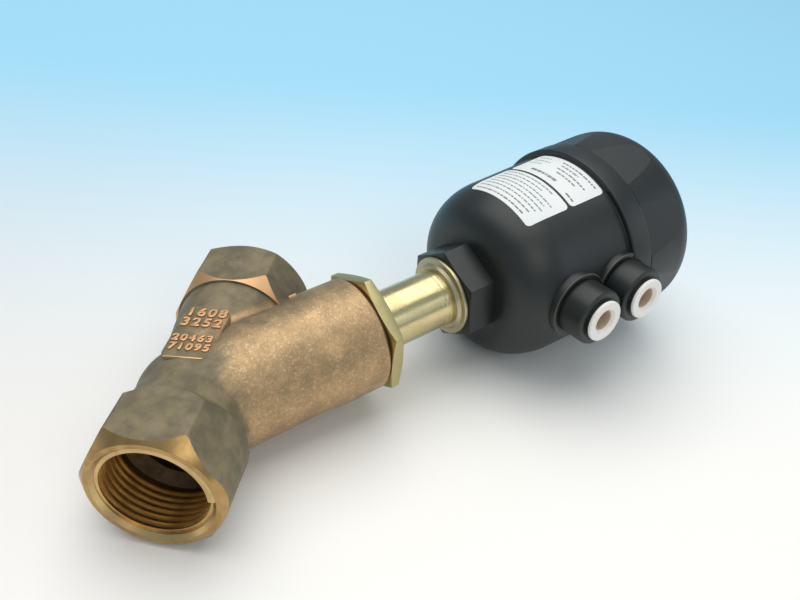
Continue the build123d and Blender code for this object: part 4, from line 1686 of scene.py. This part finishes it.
# ------------------------------------------------------------------ pieces kept from the frame
@dataclass
class Insides:
    """Finishes of the CAD nodes that show as they are."""

    palette: Palette
    finishes: dict[str, Finish] = field(
        default_factory=lambda: {
            "machined_brass": Finish.BRASS,
            "stainless_steel": Finish.STEEL,
            "spring_steel": Finish.STEEL,
            "seal_rubber": Finish.RUBBER,
            "white_ptfe": Finish.PTFE,
            "graphite": Finish.GRAPHITE,
            "white_collet": Finish.WHITE,
            "black_polyamide": Finish.BLACK,
            "grey_polyamide": Finish.GREY,
            "pointer_orange": Finish.ORANGE,
            "clear_window": Finish.CLEAR,
            "cast_bronze": Finish.CAST,
        }
    )
    spring_top: float = 145.5
    spring_length: float = 36.9
    stroke: float = 8.0

    def coil(self, name: str) -> None:
        """Make a dressed copy of a return spring in place of its node; the share of its length kept at full stroke is
        worked out but not applied.

        Args:
            name: the spring's node.
        """
        shape = bmesh.new()
        shape.from_mesh(frame["nodes"][name].data)
        bmesh.ops.remove_doubles(shape, verts=shape.verts, dist=1e-6)
        mesh = bpy.data.meshes.new(name)
        shape.to_mesh(mesh)
        shape.free()
        mesh.materials.append(self.palette[Finish.STEEL])
        made = link(name, mesh)
        finish_piece(shade(made, 50.0), f"{name}_coil", "actuator", "spring_steel", name)
        keep = (self.spring_length - self.stroke) / self.spring_length
        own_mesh(made)

    def dress(self) -> None:
        """Give each kept node the finish of its slot."""
        slots = {part["node"]: part["material_slot"] for part in frame["record"]["subparts"]}
        for name, thing in frame["nodes"].items():
            chosen = self.palette[self.finishes[slots[name]]]
            thing.data.materials.clear()
            thing.data.materials.append(chosen)
            LOG.info("%s takes %s", name, chosen.name)


# ------------------------------------------------------------------ studio
@dataclass
class Studio:
    """Pale bench, soft lights and the camera."""

    place: tuple[float, float, float] = (0.11433, 0.05251, 0.14652)
    turn: tuple[float, float, float] = (53.575, -6.93, 98.295)
    lens: float = 38.216
    floor_white: Colour = (0.92, 0.90, 0.86)
    floor_left_shaded_warm: Colour = (0.82, 0.78, 0.75)
    floor_blue: Colour = (0.33, 0.67, 0.86)

    def camera(self) -> None:
        """Make the camera."""
        data = bpy.data.cameras.new("camera")
        data.lens = self.lens
        data.sensor_width = 36.0
        data.clip_start = 0.005
        made = bpy.data.objects.new("camera", data)
        made.location = self.place
        made.rotation_euler = [math.radians(a) for a in self.turn]
        bpy.context.scene.collection.objects.link(made)
        bpy.context.scene.camera = made

    def floor(self) -> None:
        """Bench top that fades from white near the camera to pale blue behind, and goes darker and warmer towards -Y:
        a warm tint with painted shade.
        """
        shape = bmesh.new()
        bmesh.ops.create_grid(shape, x_segments=1, y_segments=1, size=4.0)
        mesh = bpy.data.meshes.new("bench")
        shape.to_mesh(mesh)
        shape.free()
        made = link("bench", mesh)
        mesh.transform(Matrix.Translation((0, 0, CAD_BOX[0][2] - 0.00005)))
        finish, tree = material("bench_top")
        far = tree.along((0.0, 0.0, 0.0), (-0.97, -0.24, 0.0)).smooth(15.0, 300.0)
        # Darker, warmer towards -Y: partly a warm tint of the bench, partly painted shade of a darker frame corner.
        left_shade_mask = tree.along((0.0, 0.0, 0.0), (0.0, -1.0, 0.0)).smooth(-40.0, 120.0)
        white = tree.mix(left_shade_mask, self.floor_white, self.floor_left_shaded_warm)
        tree.surface(Base_Color=tree.mix(far, white, self.floor_blue), Roughness=0.6)
        mesh.materials.append(finish)

    def lamp(self, name: str, at: Colour, target: Colour, size: float, watts: float, colour: Colour) -> None:
        """Square soft light aimed at a point."""
        data = bpy.data.lights.new(name, "AREA")
        data.size = size
        data.energy = watts
        data.color = colour
        made = bpy.data.objects.new(name, data)
        made.location = at
        made.rotation_euler = (Vector(target) - Vector(at)).to_track_quat("-Z", "Y").to_euler()
        bpy.context.scene.collection.objects.link(made)

    def lights(self) -> None:
        """Large key almost overhead, weak fill and side lights, and a pale surround."""
        aim = (-0.06, 0.05, 0.0)
        self.lamp("key", (-0.25, -0.12, 1.15), aim, 1.5, 14.5, (1.0, 0.97, 0.93))
        self.lamp("fill", (0.6, 0.5, 0.7), aim, 0.5, 1.6, (1.0, 0.94, 0.84))
        self.lamp("side", (-0.15, 0.9, 0.35), aim, 0.5, 0.8, (0.90, 0.96, 1.0))
        world = bpy.data.worlds.new("surround")
        bpy.context.scene.world = world
        world.use_nodes = True
        tree = Tree(world.node_tree)
        sky = tree.node("ShaderNodeBackground", {}, {"Color": (0.76, 0.88, 1.0, 1.0), "Strength": 0.42})
        tree.node("ShaderNodeOutputWorld", {}, {0: sky.outputs[0]})

    def make(self) -> None:
        """Build the whole studio."""
        self.camera()
        self.floor()
        self.lights()
        bpy.context.scene.view_settings.view_transform = "Standard"


def main() -> None:
    """Build the valve and the studio round it."""
    logging.basicConfig(level=logging.INFO, format="%(name)s %(message)s")
    axes = Axes.read(frame["record"])
    palette = Palette(axes)
    insides = Insides(palette)
    insides.dress()
    for spring in ("outer_return_spring", "inner_return_spring"):
        insides.coil(spring)
    builders: list[Callable[[], None]] = [
        ValveBody(axes, palette).make,
        Nipple(axes, palette).make,
        Actuator(axes, palette).make,
        Studio().make,
    ]
    for build in builders:
        build()


if __name__ == "__main__":
    main()
